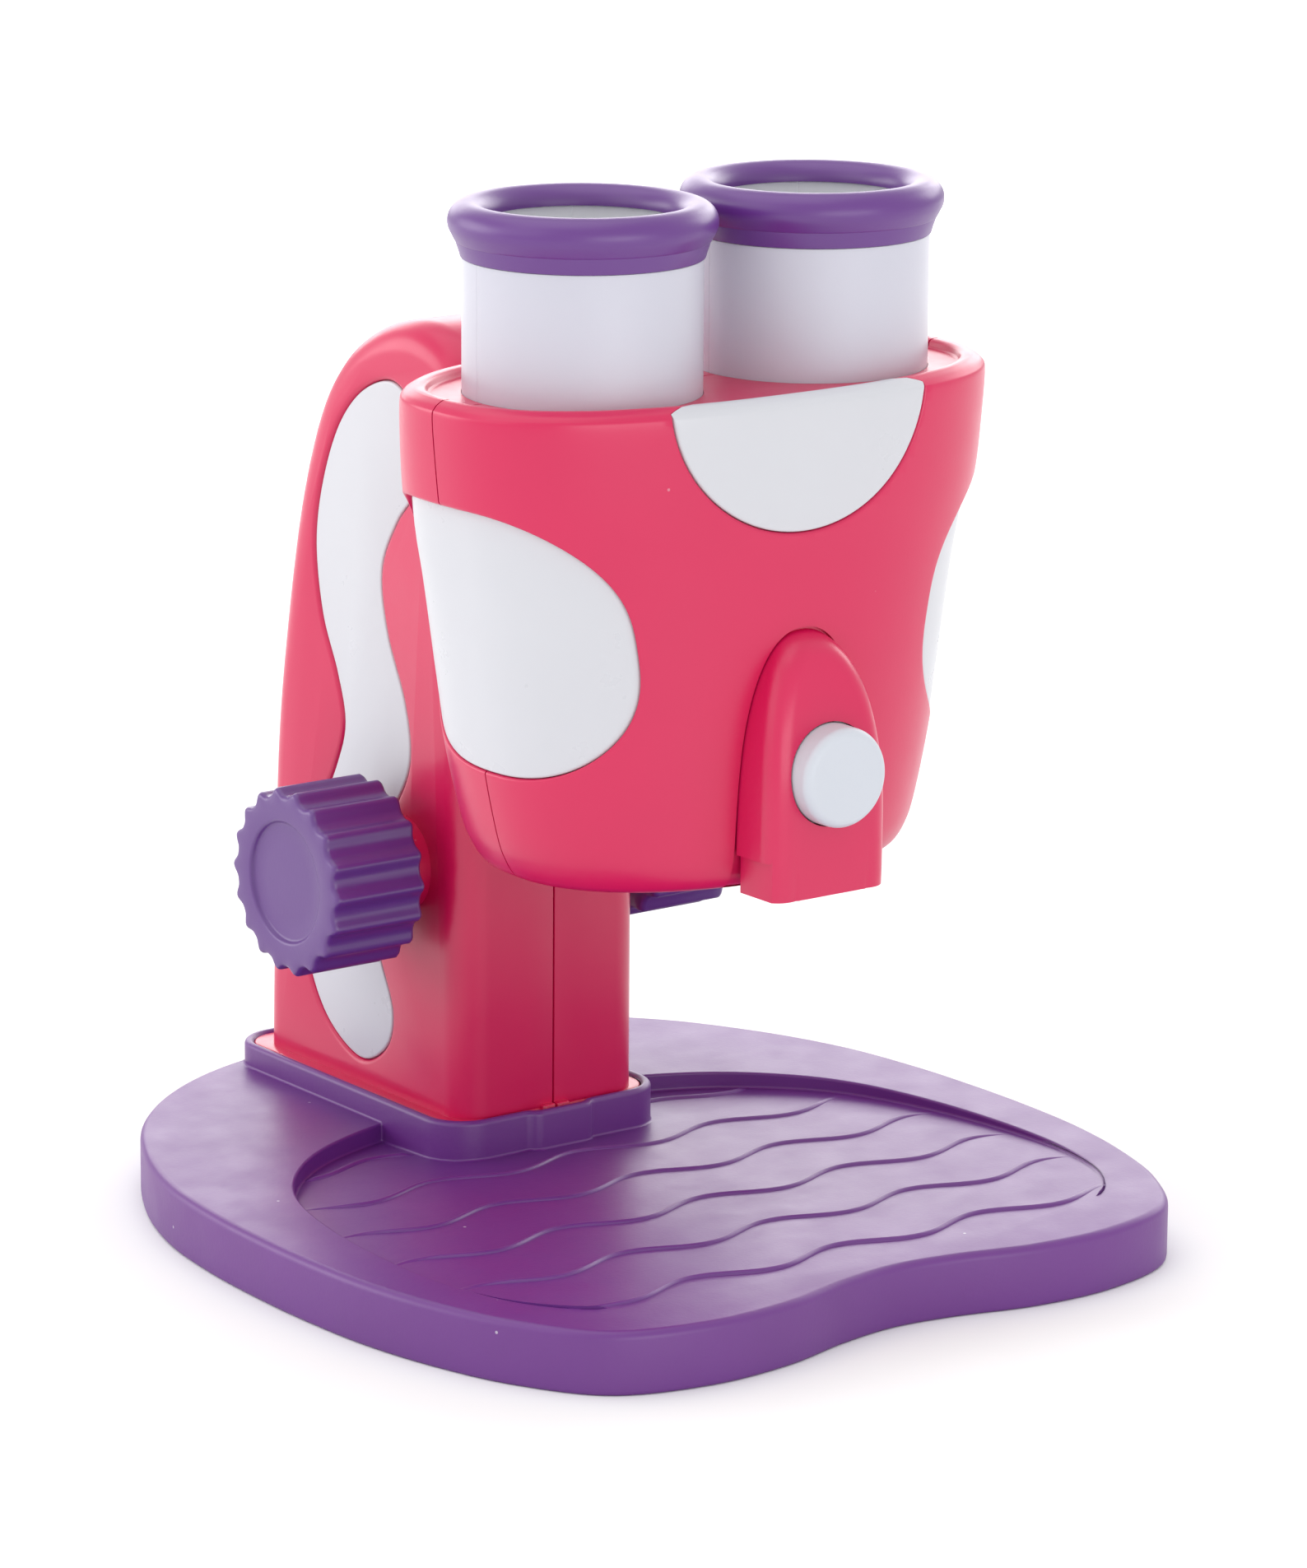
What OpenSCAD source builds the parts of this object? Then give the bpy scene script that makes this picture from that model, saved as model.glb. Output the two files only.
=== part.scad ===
// Kids' microscope: two large eyepieces on a focusing head, carried by a hollow
// arm that stands in a collar on a wide base. Either focus knob turns one axle,
// whose pinion drives a rack on the carriage behind the head.
// X is across (right when seen from the front), the front faces -Y, +Z is up.
// The origin is on the table, under the middle of the base.

/* [Base] */
// Thickness of the base plate at its edge
base_h = 12.8; // [12:0.1:14]
// Wall of the moulded base
base_wall = 2.4; // [2:0.1:3]
// Depth of the stage recess at its rear end
stage_depth = 4; // [3:0.1:5]
// Distance between two ridges of the stage
ridge_pitch = 21.8; // [18:0.1:26]
// Height of the collar's top above the table
collar_top = 18; // [17:0.1:20]

/* [Arm] */
// Half of the arm's width
arm_half = 23; // [22:0.1:24]
// Wall of the arm halves
arm_wall = 2.4; // [2:0.1:3]
// Radius of the arm's long edges
arm_round = 7; // [5:0.5:8]
// Front face of the arm
arm_front = 19.8; // [19:0.1:21]

/* [Head] */
// Axis of the head, from the middle of the base
head_y = -27.7; // [-30:0.1:-25]
// Wall of the head shells
head_wall = 2.2; // [2:0.1:2.6]
// Distance from the centre plane to each eyepiece axis
eye_x = 28; // [27.5:0.1:28.5]
// Outer radius of the eyepiece tubes
tube_r = 23.5; // [23:0.1:23.6]
// Top of the eyecups, the highest point
top_z = 216; // [214:0.5:218]

/* [Focus drive] */
// Height of the knob axle
axle_z = 68.7; // [66:0.1:70]
// Distance of the knob axle behind the middle of the base
axle_y = 41.3; // [41.3:0.1:41.6]
// Radius of the steel axle
axle_r = 2.5; // [2:0.1:2.5]
// Radius of the focus knobs
knob_r = 19.6; // [18:0.1:20]
// Number of finger flutes on a knob
knob_flutes = 18; // [12:1:24]

/* [Light] */
// Height of the light button's axis
button_z = 107; // [104:0.5:110]
// Radius of the light button
button_r = 10; // [8:0.1:10.5]

/* [Hidden] */
$fn = 64;
eps = 0.01;
pink = "#dd3e69";
purple = "#6b4596";
white = "#e4e5ea";
steel = "#c9ccd0";

// Outline of the base, right half, from the front notch round to the rear
BASE_HALF = [[0, -94.4], [14, -96.2], [31, -100.4], [50, -100.9], [69, -94.8], [80.5, -79], [87, -61],
    [90.6, -43], [91.9, -25], [91.9, -7], [90.7, 12.4], [87.2, 33], [79.2, 54], [66.5, 74.3],
    [47.8, 90.4], [25, 100], [0, 101.7]];
// Outline of the stage recess, right half
STAGE_HALF = [[0, -86], [30, -87], [58, -84], [71, -73], [77, -56], [78.5, -36], [76.5, -12],
    [71, 9], [61, 24], [46, 35.5], [24, 43], [0, 44]];
// Side profile of the arm's back and top, from the foot up and over to the front
ARM_BACK = [[95.9, 2], [95.2, 30], [94.3, 52], [92.9, 82], [89.6, 107], [83.4, 137], [75.6, 158.5],
    [66.2, 171.2], [55, 178.4], [43, 181.6], [33, 181], [25.6, 177.6], [21.2, 171.6], [19.8, 164]];
// Outline of the white inlay on the arm's side
INLAY = [[44, 168.5], [55, 166.3], [64.5, 158], [71, 145], [73.8, 131], [71.5, 116], [66, 104],
    [63.3, 94], [66.5, 84.5], [74, 71], [79, 56], [78, 41], [70.5, 28.5], [58, 22.4], [48.5, 27],
    [46, 35], [50, 44.5], [54.5, 54], [54.2, 68], [45.5, 79], [39.6, 90], [41.2, 102], [47.6, 116],
    [49.6, 129], [44, 140], [36, 149], [35, 160]];
// Sections of the head: height, half width, front depth, rear depth and the
// squareness of the front and rear outlines
HEAD = [[82.8, 42, 29.5, 30.5, 2.15, 2.4], [84, 44, 32, 33, 2.15, 2.4], [87, 46, 33.6, 34.4, 2.15, 2.4],
    [92, 48, 34.4, 35.4, 2.15, 2.45], [104.5, 50.9, 35, 36.2, 2.2, 2.55], [120, 53.5, 35, 36.5, 2.3, 2.7],
    [140, 57, 35, 36.5, 2.42, 2.85], [150, 59.6, 35.1, 36.5, 2.45, 2.8], [158, 61.6, 35.5, 36.5, 2.45, 2.65],
    [166, 62.6, 35.8, 36.3, 2.45, 2.6], [176.6, 63.5, 36, 36, 2.45, 2.5], [179, 62.9, 35.4, 35.4, 2.45, 2.5],
    [180.3, 61, 33.5, 33.5, 2.45, 2.5]];
head_sides = 48;
head_floor = HEAD[0][0];
head_rim = HEAD[len(HEAD) - 1][0];
top_plate = 178.6;
plate_t = 2;
panel_t = 1.6;
panel_gap = 0.1;

// Drive: a 14-tooth pinion of module 1.1 with a 25 degree pressure angle
gear_module = 1.1;
gear_teeth = 14;
gear_angle = 25;
gear_r = gear_module * gear_teeth / 2;
tooth_play = 0.12;
rack_y = axle_y - gear_r;

function flip(half) = [for (i = [len(half) - 2 : -1 : 1]) [-half[i].x, half[i].y]];
function bend(a, b, c, d, t) =
    0.5 * (2 * b + (c - a) * t + (2 * a - 5 * b + 4 * c - d) * t * t + (3 * b - a - 3 * c + d) * t * t * t);
// A closed smooth curve through the points, with k steps between two of them
function loop_through(p, k) = let (n = len(p))
    [for (i = [0 : n - 1]) for (s = [0 : k - 1])
        bend(p[(i + n - 1) % n], p[i], p[(i + 1) % n], p[(i + 2) % n], s / k)];
// An open smooth curve through the points
function line_through(p, k) = let (n = len(p))
    concat([for (i = [0 : n - 2]) for (s = [0 : k - 1])
        bend(p[max(i - 1, 0)], p[i], p[i + 1], p[min(i + 2, n - 1)], s / k)], [p[n - 1]]);
// A closed outline moved inwards by d
function inset(p, d) = let (n = len(p))
    [for (i = [0 : n - 1]) let (t = p[(i + 1) % n] - p[(i + n - 1) % n]) p[i] + d * [-t.y, t.x] / norm(t)];
function signed_power(v, e) = (v < 0 ? -1 : 1) * pow(abs(v), e);
// One ring of the head: half width a, depths bf and br, squareness nf and nr
function head_ring(l, cut) = [for (i = [0 : head_sides - 1]) let (
    w = 360 * i / head_sides, front = sin(w) < 0,
    b = (front ? l[2] : l[3]) - cut, e = 2 / (front ? l[4] : l[5]))
    [(l[1] - cut) * signed_power(cos(w), e), head_y + b * signed_power(sin(w), e), l[0]]];
function at_height(z) = let (k = max([for (i = [0 : len(HEAD) - 2]) if (HEAD[i][0] <= z || i == 0) i]),
    t = (z - HEAD[k][0]) / (HEAD[k + 1][0] - HEAD[k][0])) HEAD[k] * (1 - t) + HEAD[k + 1] * t;
function lifted(p, z) = [for (q = p) [q.x, q.y, z]];
// An egg-shaped outline with its own depth at the front and rear, squarer at the upper rear
function egg(cy, cz, front, rear, half_h, n, n_rear) = [for (w = [0 : 9 : 351])
    let (e = 2 / (cos(w) > 0 && sin(w) > 0 ? n_rear : n))
    [cy + (cos(w) < 0 ? front : rear) * signed_power(cos(w), e), cz + half_h * signed_power(sin(w), e)]];
function roll_angle(radius) = let (a = acos(min(1, gear_r * cos(gear_angle) / radius)))
    tan(a) * 180 / PI - a;

base_curve = loop_through(concat(BASE_HALF, flip(BASE_HALF)), 3);
base_mid = (max([for (q = base_curve) q.y]) + min([for (q = base_curve) q.y])) / 2;
BASE_EDGE = [for (q = base_curve) [q.x, q.y - base_mid]];
STAGE_EDGE = loop_through(concat(STAGE_HALF, flip(STAGE_HALF)), 2);
ARM_SIDE = concat(line_through(ARM_BACK, 2), [[arm_front, 2]]);
PANEL_EDGE = egg(head_y - 3.5, 132.8, 25.3, 31, 27, 2.8, 4.5);
MOON_EDGE = [for (w = [180 : 7.5 : 360]) [31 * cos(w), 182 + 28.6 * sin(w)]];
pod_w = 14.6;
pod_mid = 97;
POD_EDGE = concat([[-pod_w, 91], [-pod_w + 1, 90.5], [-pod_w + 1, head_floor], [pod_w - 1, head_floor],
    [pod_w - 1, 90.5], [pod_w, 91]],
    [for (w = [0 : 9 : 180])
        [pod_w * signed_power(cos(w), 2 / 2.3), pod_mid + 37.2 * signed_power(sin(w), 2 / 2.3)]]);

// A solid through rings of points, from the lowest ring up
module loft(rings) {
    n = len(rings[0]);
    m = len(rings);
    polyhedron(
        points = [for (r = rings) each r],
        faces = concat([[for (i = [0 : n - 1]) i]], [[for (i = [n - 1 : -1 : 0]) (m - 1) * n + i]],
            [for (j = [0 : m - 2]) for (i = [0 : n - 1])
                [j * n + i, (j + 1) * n + i, (j + 1) * n + (i + 1) % n]],
            [for (j = [0 : m - 2]) for (i = [0 : n - 1])
                [j * n + i, (j + 1) * n + (i + 1) % n, j * n + (i + 1) % n]]),
        convexity = 6);
}

// An upright slab with round corners
module slab(x0, y0, x1, y1, r, z0, z1) {
    translate([0, 0, z0]) linear_extrude(z1 - z0) {
        translate([x0 + r, y0]) square([x1 - x0 - 2 * r, y1 - y0]);
        translate([x0, y0 + r]) square([x1 - x0, y1 - y0 - 2 * r]);
        for (x = [x0 + r, x1 - r], y = [y0 + r, y1 - r]) translate([x, y]) circle(r);
    }
}

// A block between two corners
module block(lo, hi) {
    translate(lo) cube(hi - lo);
}

// Outlines drawn from the side (y, z) or from the front (x, z), made solid
module from_side(x0, x1) {
    translate([x0, 0, 0]) rotate([90, 0, 90]) linear_extrude(x1 - x0) children();
}
module from_front(y0, y1) {
    translate([0, y1, 0]) rotate([90, 0, 0]) linear_extrude(y1 - y0) children();
}

// Rods along X and Y
module rod_x(y, z, r, x0, x1) {
    translate([x0, y, z]) rotate([0, 90, 0]) cylinder(h = x1 - x0, r = r);
}
module rod_y(x, z, r, y0, y1) {
    translate([x, y1, z]) rotate([90, 0, 0]) cylinder(h = y1 - y0, r = r);
}

// A pan-head screw: tip at the origin end, head at the far end of +Z
module screw(shank_r, shank_l, head_r, head_h) {
    difference() {
        union() {
            cylinder(h = shank_l + eps, r = shank_r);
            translate([0, 0, shank_l]) cylinder(h = head_h, r = head_r);
        }
        for (a = [0, 90]) rotate(a) translate([-head_r * 0.6, -0.35, shank_l + head_h * 0.4])
            cube([head_r * 1.2, 0.7, head_h]);
    }
}

// A round-wire spring along Z
module coil(r, wire, turns, length) {
    steps = 14;
    n = turns * steps;
    loft([for (i = [0 : n]) let (w = 360 * i / steps, z = length * i / n)
        [for (k = [0 : 5]) let (q = 60 * k, o = r + wire * cos(q))
            [o * cos(w), -o * sin(w), z + wire * sin(q)]]]);
}

/* ---- base ---- */
BASE_SCREWS = [[-17, 28], [17, 28], [-17, 88], [17, 88]];

module stage_cut() {
    difference() {
        intersection() {
            linear_extrude(20) polygon(STAGE_EDGE);
            from_side(-95, 95)
                polygon([[-82, base_h], [44.5, base_h - stage_depth], [44.5, base_h + 2],
                    [-82, base_h + 2]]);
        }
        slab(-27.9, 17.2, 27.9, 101, 9.4, 0, 20);
    }
}

function ridge_line(x, k) = k * ridge_pitch - 19.2 + 2.6 * sin(360 * (x - 25) / 35.7);

module base_ridges() {
    slope = atan(stage_depth / 126.5);
    difference() {
        intersection() {
            translate([0, 0, 5]) linear_extrude(15) polygon(inset(STAGE_EDGE, 0.8));
            translate([0, -82, base_h - 0.4]) rotate([-slope, 0, 0]) linear_extrude(1)
                for (k = [1 : 6]) polygon(concat(
                    [for (x = [-81 : 3 : 81]) [x, ridge_line(x, k) + 0.6]],
                    [for (x = [81 : -3 : -81]) [x, ridge_line(x, k) - 0.6]]));
            block([-90, -82, 5], [90, 40, 20]);
        }
        slab(-27, 18, 27, 101, 8.5, 0, 20);
    }
}

module base_hollow() {
    intersection() {
        translate([0, 0, -1]) linear_extrude(20) polygon(inset(BASE_EDGE, base_wall + 0.4));
        from_side(-100, 100) polygon([[-110, -1], [-110, base_h - base_wall], [-80, base_h - base_wall],
            [45, base_h - base_wall - stage_depth], [45, base_h - base_wall],
            [110, base_h - base_wall], [110, -1]]);
    }
}

module base() {
    color(purple) difference() {
        union() {
            difference() {
                loft([lifted(inset(BASE_EDGE, 0.6), 0), lifted(BASE_EDGE, 0.8),
                    lifted(BASE_EDGE, base_h - 1.4),
                    lifted(inset(BASE_EDGE, 0.45), base_h - 0.4), lifted(inset(BASE_EDGE, 1.4), base_h)]);
                base_hollow();
                stage_cut();
            }
            // stiffening ribs under the plate
            intersection() {
                base_hollow();
                union() {
                    for (x = [-60, -30, 30, 60]) block([x - 0.9, -110, 0.6], [x + 0.9, 110, 12]);
                    for (y = [-70, -35, 0, 50]) block([-100, y - 0.9, 0.6], [100, y + 0.9, 12]);
                }
            }
            // collar round the arm's foot, with its small front lobe
            difference() {
                union() {
                    slab(-28, 17.1, 28, 101.6, 9.5, base_h - stage_depth - 1.6, collar_top);
                    slab(-7, 15.5, 7, 30, 1.5, base_h - stage_depth - 1.6, collar_top);
                }
                slab(-26, 19.1, 26, 99.6, 7.5, base_h, collar_top + 1);
                slab(-24, 21, 24, 97.6, 6, -1, base_h - base_wall);
            }
            for (p = BASE_SCREWS) translate([p.x, p.y, 5]) cylinder(h = base_h - 6, r = 4.6);
            base_ridges();
        }
        for (p = BASE_SCREWS) translate([p.x, p.y, 4]) {
            cylinder(h = 20, r = 1.7);
            cylinder(h = 4, r = 3.4);
        }
    }
}

module base_screws() {
    color(steel) for (p = BASE_SCREWS) translate([p.x, p.y, 21]) mirror([0, 0, 1]) screw(1.4, 13, 2.9, 2);
}

/* ---- arm ---- */
ARM_JOIN = [[62, 30], [62, 122], [55, 157]];
door_half = 13.2;
door_low = 26;
door_high = 81;

// One side of a body with round long edges: x from 0 to w
module round_side(side, w, r) {
    hull() {
        from_side(-eps, eps) polygon(side);
        for (k = [0 : 4]) let (d = max(r * (1 - cos(90 * k / 4)), eps), x = w - r + r * sin(90 * k / 4))
            from_side(x - 0.02, x) offset(delta = -d) polygon(side);
    }
}

// The arm's whole outer form
module arm_form() {
    round_side(ARM_SIDE, arm_half, arm_round);
    mirror([1, 0, 0]) round_side(ARM_SIDE, arm_half, arm_round);
}

// The right half of the arm, before its openings: drawn at x > 0
module arm_half_body() {
    difference() {
        union() {
            difference() {
                round_side(ARM_SIDE, arm_half, arm_round);
                translate([-0.5, 0, 0]) round_side(
                    [for (p = inset(ARM_SIDE, arm_wall)) [p.x, p.y < 20 ? 0 : p.y]],
                    arm_half - arm_wall + 0.5, arm_round - 2);
            }
            // foot flange that sits in the collar
            difference() {
                slab(-25.8, 19.3, 25.8, 99.3, 7.3, base_h, 17.4);
                slab(-20.6, 22.2, 20.6, 93, 4, base_h - 1, 18);
                block([-30, 0, 0], [0, 110, 30]);
            }
            // axle boss, outside and inside
            rod_x(axle_y, axle_z, 10, arm_half - arm_wall, 29.8);
            rod_x(axle_y, axle_z, 7, 17, arm_half - arm_wall + 1);
            // guide for the carriage: a side wall, a rear lip and ties to the outer wall
            block([9.3, 22, 46], [11.1, 34.6, 168]);
            block([6, 32.6, 46], [11, 34.6, 168]);
            for (z = [54, 110, 160]) block([10, 22, z], [arm_half - 1, 34.6, z + 1.8]);
            // ties that hold the battery tray
            for (z = [34, 70]) block([13.2, 76.6, z], [arm_half - 1, 90.2, z + 1.6]);
            // posts that the base screws bite into
            for (p = BASE_SCREWS) if (p.x > 0) difference() {
                translate([p.x, p.y, base_h]) cylinder(h = 11, r = 4);
                translate([p.x, p.y, base_h - 1]) cylinder(h = 10, r = 1.43);
            }
            for (p = BASE_SCREWS) if (p.x > 0)
                block([p.x + 2, p.y - 1, base_h], [arm_half - 1, p.y + 1, base_h + 10]);
            // posts for the screws that join the halves
            for (p = ARM_JOIN) rod_x(p.x, p.y, 3.6, 0, arm_half - 1);
        }
        rod_x(axle_y, axle_z, 4.5, 10, 40);
        // slot for the carriage's neck
        block([-1, arm_front - 1, 99.4], [6.4, arm_front + arm_wall + 0.2, 156.6]);
        // battery opening
        block([-1, 88, door_low], [door_half + 0.3, 100, door_high]);
        // seat for the white inlay
        from_side(arm_half - panel_t, arm_half + 1) polygon(inset(loop_through(INLAY, 3), panel_gap));
        block([-60, -10, -20], [0, 200, 300]);
        block([-60, -10, -20], [60, 200, base_h]);
    }
}

module arm_right() {
    color(pink) difference() {
        arm_half_body();
        for (p = ARM_JOIN) rod_x(p.x, p.y, 1.33, -1, 12);
    }
}

module arm_left() {
    color(pink) difference() {
        mirror([1, 0, 0]) arm_half_body();
        for (p = ARM_JOIN) {
            rod_x(p.x, p.y, 1.6, -40, 1);
            rod_x(p.x, p.y, 2.9, -40, -6);
        }
    }
}

module arm_screws() {
    color(steel) for (p = ARM_JOIN) translate([9, p.x, p.y]) rotate([0, -90, 0]) screw(1.3, 15, 2.6, 1.8);
}

module arm_inlay() {
    color(white) from_side(arm_half - panel_t, arm_half - 0.3) polygon(inset(loop_through(INLAY, 3), -0.05));
}

module arm_inlay_right() {
    arm_inlay();
}

module arm_inlay_left() {
    mirror([1, 0, 0]) arm_inlay();
}

/* ---- battery compartment ---- */
cell_y = 83.4;
screw_z = 77.5;

module battery_tray() {
    color("#3a3a40") difference() {
        block([-13.2, 76.6, 24.6], [13.2, 90.2, 80.4]);
        block([-12, 77.8, 25.8], [12, 91, 74.2]);
        rod_y(0, screw_z, 1.25, 81, 91);
        block([-11, 75, 76], [-4, 91, 79.2]);
        block([4, 75, 76], [11, 91, 79.2]);
    }
}

module battery_cells() {
    color("#b9924a") for (x = [-5.9, 5.9]) translate([x, cell_y, 28.4]) {
        cylinder(h = 43.6, r = 5.2);
        translate([0, 0, 43.5]) cylinder(h = 0.9, r = 1.9);
    }
}

module battery_contacts() {
    color(steel) {
        block([-10.5, cell_y - 4.2, 73.6], [10.5, cell_y + 4.2, 74.2]);
        for (x = [-5.9, 5.9]) translate([x, cell_y, 0]) {
            block([-4.2, -4.2, 25.8], [4.2, 4.2, 26.3]);
            translate([0, 0, 26.5]) coil(3, 0.3, 2, 1.4);
        }
    }
}

module battery_door() {
    color(pink) difference() {
        intersection() {
            arm_form();
            block([-door_half, 90.4, door_low + 0.3], [door_half, 100, door_high - 0.3]);
        }
        rod_y(0, screw_z, 1.4, 80, 110);
        rod_y(0, screw_z, 2.6, 91.9, 110);
    }
}

module door_screw() {
    color(steel) translate([0, 82, screw_z]) rotate([-90, 0, 0]) screw(1.2, 9.9, 2.4, 1.2);
}

/* ---- focus drive ---- */
function knob_edge() = [for (i = [0 : knob_flutes * 6 - 1]) let (w = 360 * i / (knob_flutes * 6))
    (knob_r - 0.75 + 0.75 * cos(w * knob_flutes)) * [cos(w), sin(w)]];

module focus_knob() {
    color(purple) translate([30.6, axle_y, axle_z]) rotate([0, 90, 0]) difference() {
        intersection() {
            linear_extrude(22) polygon(knob_edge());
            union() {
                cylinder(h = 21.3, r = knob_r + 1);
                translate([0, 0, 21.2]) cylinder(h = 0.8, r1 = knob_r + 0.1, r2 = knob_r - 0.7);
            }
        }
        translate([0, 0, 21]) cylinder(h = 2, r = 12.5);
        translate([0, 0, -1]) cylinder(h = 20, r = axle_r + 0.01);
        // hollow on the arm's side, round a hub
        translate([0, 0, -1]) difference() {
            cylinder(h = 16, r = 16);
            cylinder(h = 16, r = 6.5);
        }
    }
}

module focus_knob_right() {
    focus_knob();
}

module focus_knob_left() {
    mirror([1, 0, 0]) focus_knob();
}

module knob_axle() {
    color(steel) rod_x(axle_y, axle_z, axle_r, -48.5, 48.5);
}

module axle_bushes() {
    color("#d8d2c4") for (s = [-1, 1]) mirror([s < 0 ? 1 : 0, 0, 0]) difference() {
        union() {
            rod_x(axle_y, axle_z, 4.5, 17, 29.8);
            rod_x(axle_y, axle_z, 6, 15.6, 17);
        }
        rod_x(axle_y, axle_z, axle_r + 0.05, 10, 40);
    }
}

module brake_washers() {
    color("#2b2b2e") for (s = [-1, 1]) mirror([s < 0 ? 1 : 0, 0, 0]) difference() {
        rod_x(axle_y, axle_z, 6, 29.8, 30.5);
        rod_x(axle_y, axle_z, axle_r + 0.05, 29, 31);
    }
}

module drive_pinion() {
    root = gear_r - 1.25 * gear_module;
    tip = gear_r + 0.95 * gear_module;
    half = 90 / gear_teeth - tooth_play / 4 / gear_r * 180 / PI;
    flank = [for (k = [0 : 4]) let (base = gear_r * cos(gear_angle)) base + (tip - base) * k / 4];
    side = [for (r = flank) [r, half + roll_angle(gear_r) - roll_angle(r)]];
    tooth = concat([[root, side[0][1] + 0.6]], side, [for (k = [4 : -1 : 0]) [side[k][0], -side[k][1]]],
        [[root, -side[0][1] - 0.6]]);
    // a gap between two teeth faces the rack
    color("#e9e4d4") translate([-4.5, axle_y, axle_z]) rotate([90, 0, 90]) difference() {
        union() {
            linear_extrude(9) polygon([for (i = [0 : gear_teeth - 1]) for (t = tooth)
                let (w = 180 + 360 * (i + 0.5) / gear_teeth - t[1]) t[0] * [cos(w), sin(w)]]);
            translate([0, 0, 9 - eps]) cylinder(h = 3, r = 5);
        }
        translate([0, 0, -1]) cylinder(h = 20, r = axle_r + 0.01);
    }
}

module focus_carriage() {
    pitch = PI * gear_module;
    tip_w = pitch / 4 - tooth_play / 4 - gear_module * tan(gear_angle);
    root_w = pitch / 4 - tooth_play / 4 + 1.25 * gear_module * tan(gear_angle);
    root = rack_y - 1.25 * gear_module;
    color("#e9e4d4") difference() {
        union() {
            block([-9, 23, 50], [9, root, 150]);
            from_side(-4, 4) for (k = [-5 : 5]) polygon([
                [root - eps, axle_z + k * pitch - root_w], [root - eps, axle_z + k * pitch + root_w],
                [rack_y + gear_module * 0.95, axle_z + k * pitch + tip_w + 0.02],
                [rack_y + gear_module * 0.95, axle_z + k * pitch - tip_w - 0.02]]);
            block([-6, 9.5, 110], [6, 24, 146]);
            block([-10, 9.5, 104], [10, 13, 152]);
        }
        for (z = CARRIAGE_SCREWS) rod_y(0, z, 1.13, 0, 22);
    }
}

/* ---- head ---- */
CARRIAGE_SCREWS = [117, 139];
HEAD_SCREWS = [[-40, 98], [40, 98], [0, 163]];
POD_SCREWS = [[-8, 122], [8, 122]];
objective_x = 17;

module head_form(cut) {
    loft([for (l = HEAD) head_ring(l, cut)]);
}

// The inside of the shells
module head_space() {
    low = head_floor + head_wall;
    high = top_plate - plate_t;
    loft(concat([head_ring(at_height(low), head_wall + 2)],
        [for (l = HEAD) if (l[0] > low + 1 && l[0] < high - 1) head_ring(l, head_wall)],
        [head_ring(at_height(high), head_wall)]));
}

// What lies outside the side panels' back faces: their seats in the shells
module panel_seat(s) {
    difference() {
        from_side(s < 0 ? -70 : 20, s < 0 ? -20 : 70) polygon(inset(PANEL_EDGE, panel_gap));
        panel_form(panel_t);
    }
}

// The wall that closes the shells behind a side panel
module panel_backing(s) {
    intersection() {
        from_side(s < 0 ? -70 : 20, s < 0 ? -20 : 70) polygon(inset(PANEL_EDGE, -1.6));
        difference() {
            panel_form(panel_t - 0.05);
            panel_form(panel_t + 1.6);
        }
    }
}

// The straight taper that the side panels follow
function panel_level(l, cut) = let (back = 0.2 + 2 * max(0, min(1, (l[0] - 106) / 54)))
    [l[0], l[1] - back, l[2] - 0.2, l[3] - 0.2, l[4], l[5]];
module panel_form(cut) {
    loft([for (l = HEAD) if (l[0] < 170) head_ring(panel_level(l, cut), cut)]);
}

// The half-moon's outline from the front, and its curved edge on the top plate
module moon_seat(gap) {
    intersection() {
        from_front(head_y - 40, head_y - 20) polygon(inset(MOON_EDGE, gap));
        linear_extrude(200) polygon(concat([[-34, -80], [34, -80]],
            [for (x = [34 : -4 : -34]) [x, -55.2 - gap - 5.2 * pow(x / 32, 2)]]));
    }
}

// What the half-moon panel takes out of the front shell
module moon_space() {
    difference() {
        moon_seat(0);
        loft(concat([for (l = HEAD) if (l[0] > 140 && l[0] < 176) head_ring(l, panel_t + 0.05)],
            [head_ring([top_plate - panel_t - 0.05, 63.5, 36, 36, 2.45, 2.5], panel_t + 0.45)]));
    }
}

module head_body() {
    difference() {
        union() {
            difference() {
                head_form(0);
                head_space();
            }
            // wall behind the side panels
            for (s = [-1, 1]) panel_backing(s);
            // flat pad for the carriage, and posts for the screws
            block([-11, 5.5, 103], [11, 9.5, 153]);
            intersection() {
                head_form(1);
                for (p = HEAD_SCREWS) rod_y(p.x, p.y, 3.4, head_y - 40, head_y + 40);
            }
            // flat pad that the light's board lies against
            intersection() {
                head_form(1);
                block([-13, -64, 88], [13, -58.5, 127]);
            }
        }
        // recess inside the rim
        loft([head_ring([top_plate, 63, 35.6, 35.6, 2.45, 2.5], 4.6),
            head_ring([183, 63, 35.6, 35.6, 2.45, 2.5], 4)]);
        for (x = [-eye_x, eye_x]) translate([x, head_y, 170]) cylinder(h = 20, r = tube_r + 0.05);
        for (x = [-objective_x, objective_x]) translate([x, head_y, 80]) cylinder(h = 8, r = 11.5);
        for (s = [-1, 1]) panel_seat(s);
        moon_space();
        // opening behind the light pod
        block([-8, -70, 92], [8, -50, 114.5]);
        for (p = POD_SCREWS) rod_y(p.x, p.y, 1.13, -80, head_y - 20);
    }
}

module head_front_shell() {
    color(pink) difference() {
        intersection() {
            head_body();
            block([-80, -90, 0], [80, head_y, 200]);
        }
        for (p = HEAD_SCREWS) rod_y(p.x, p.y, 1.33, head_y - 9, head_y + 1);
    }
}

module head_rear_shell() {
    color(pink) difference() {
        intersection() {
            head_body();
            block([-80, head_y, 0], [80, 30, 200]);
        }
        for (p = HEAD_SCREWS) {
            rod_y(p.x, p.y, 1.6, head_y - 1, 40);
            rod_y(p.x, p.y, 3, head_y + 9, 40);
        }
        for (z = CARRIAGE_SCREWS) rod_y(0, z, 1.6, -5, 20);
    }
}

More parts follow.
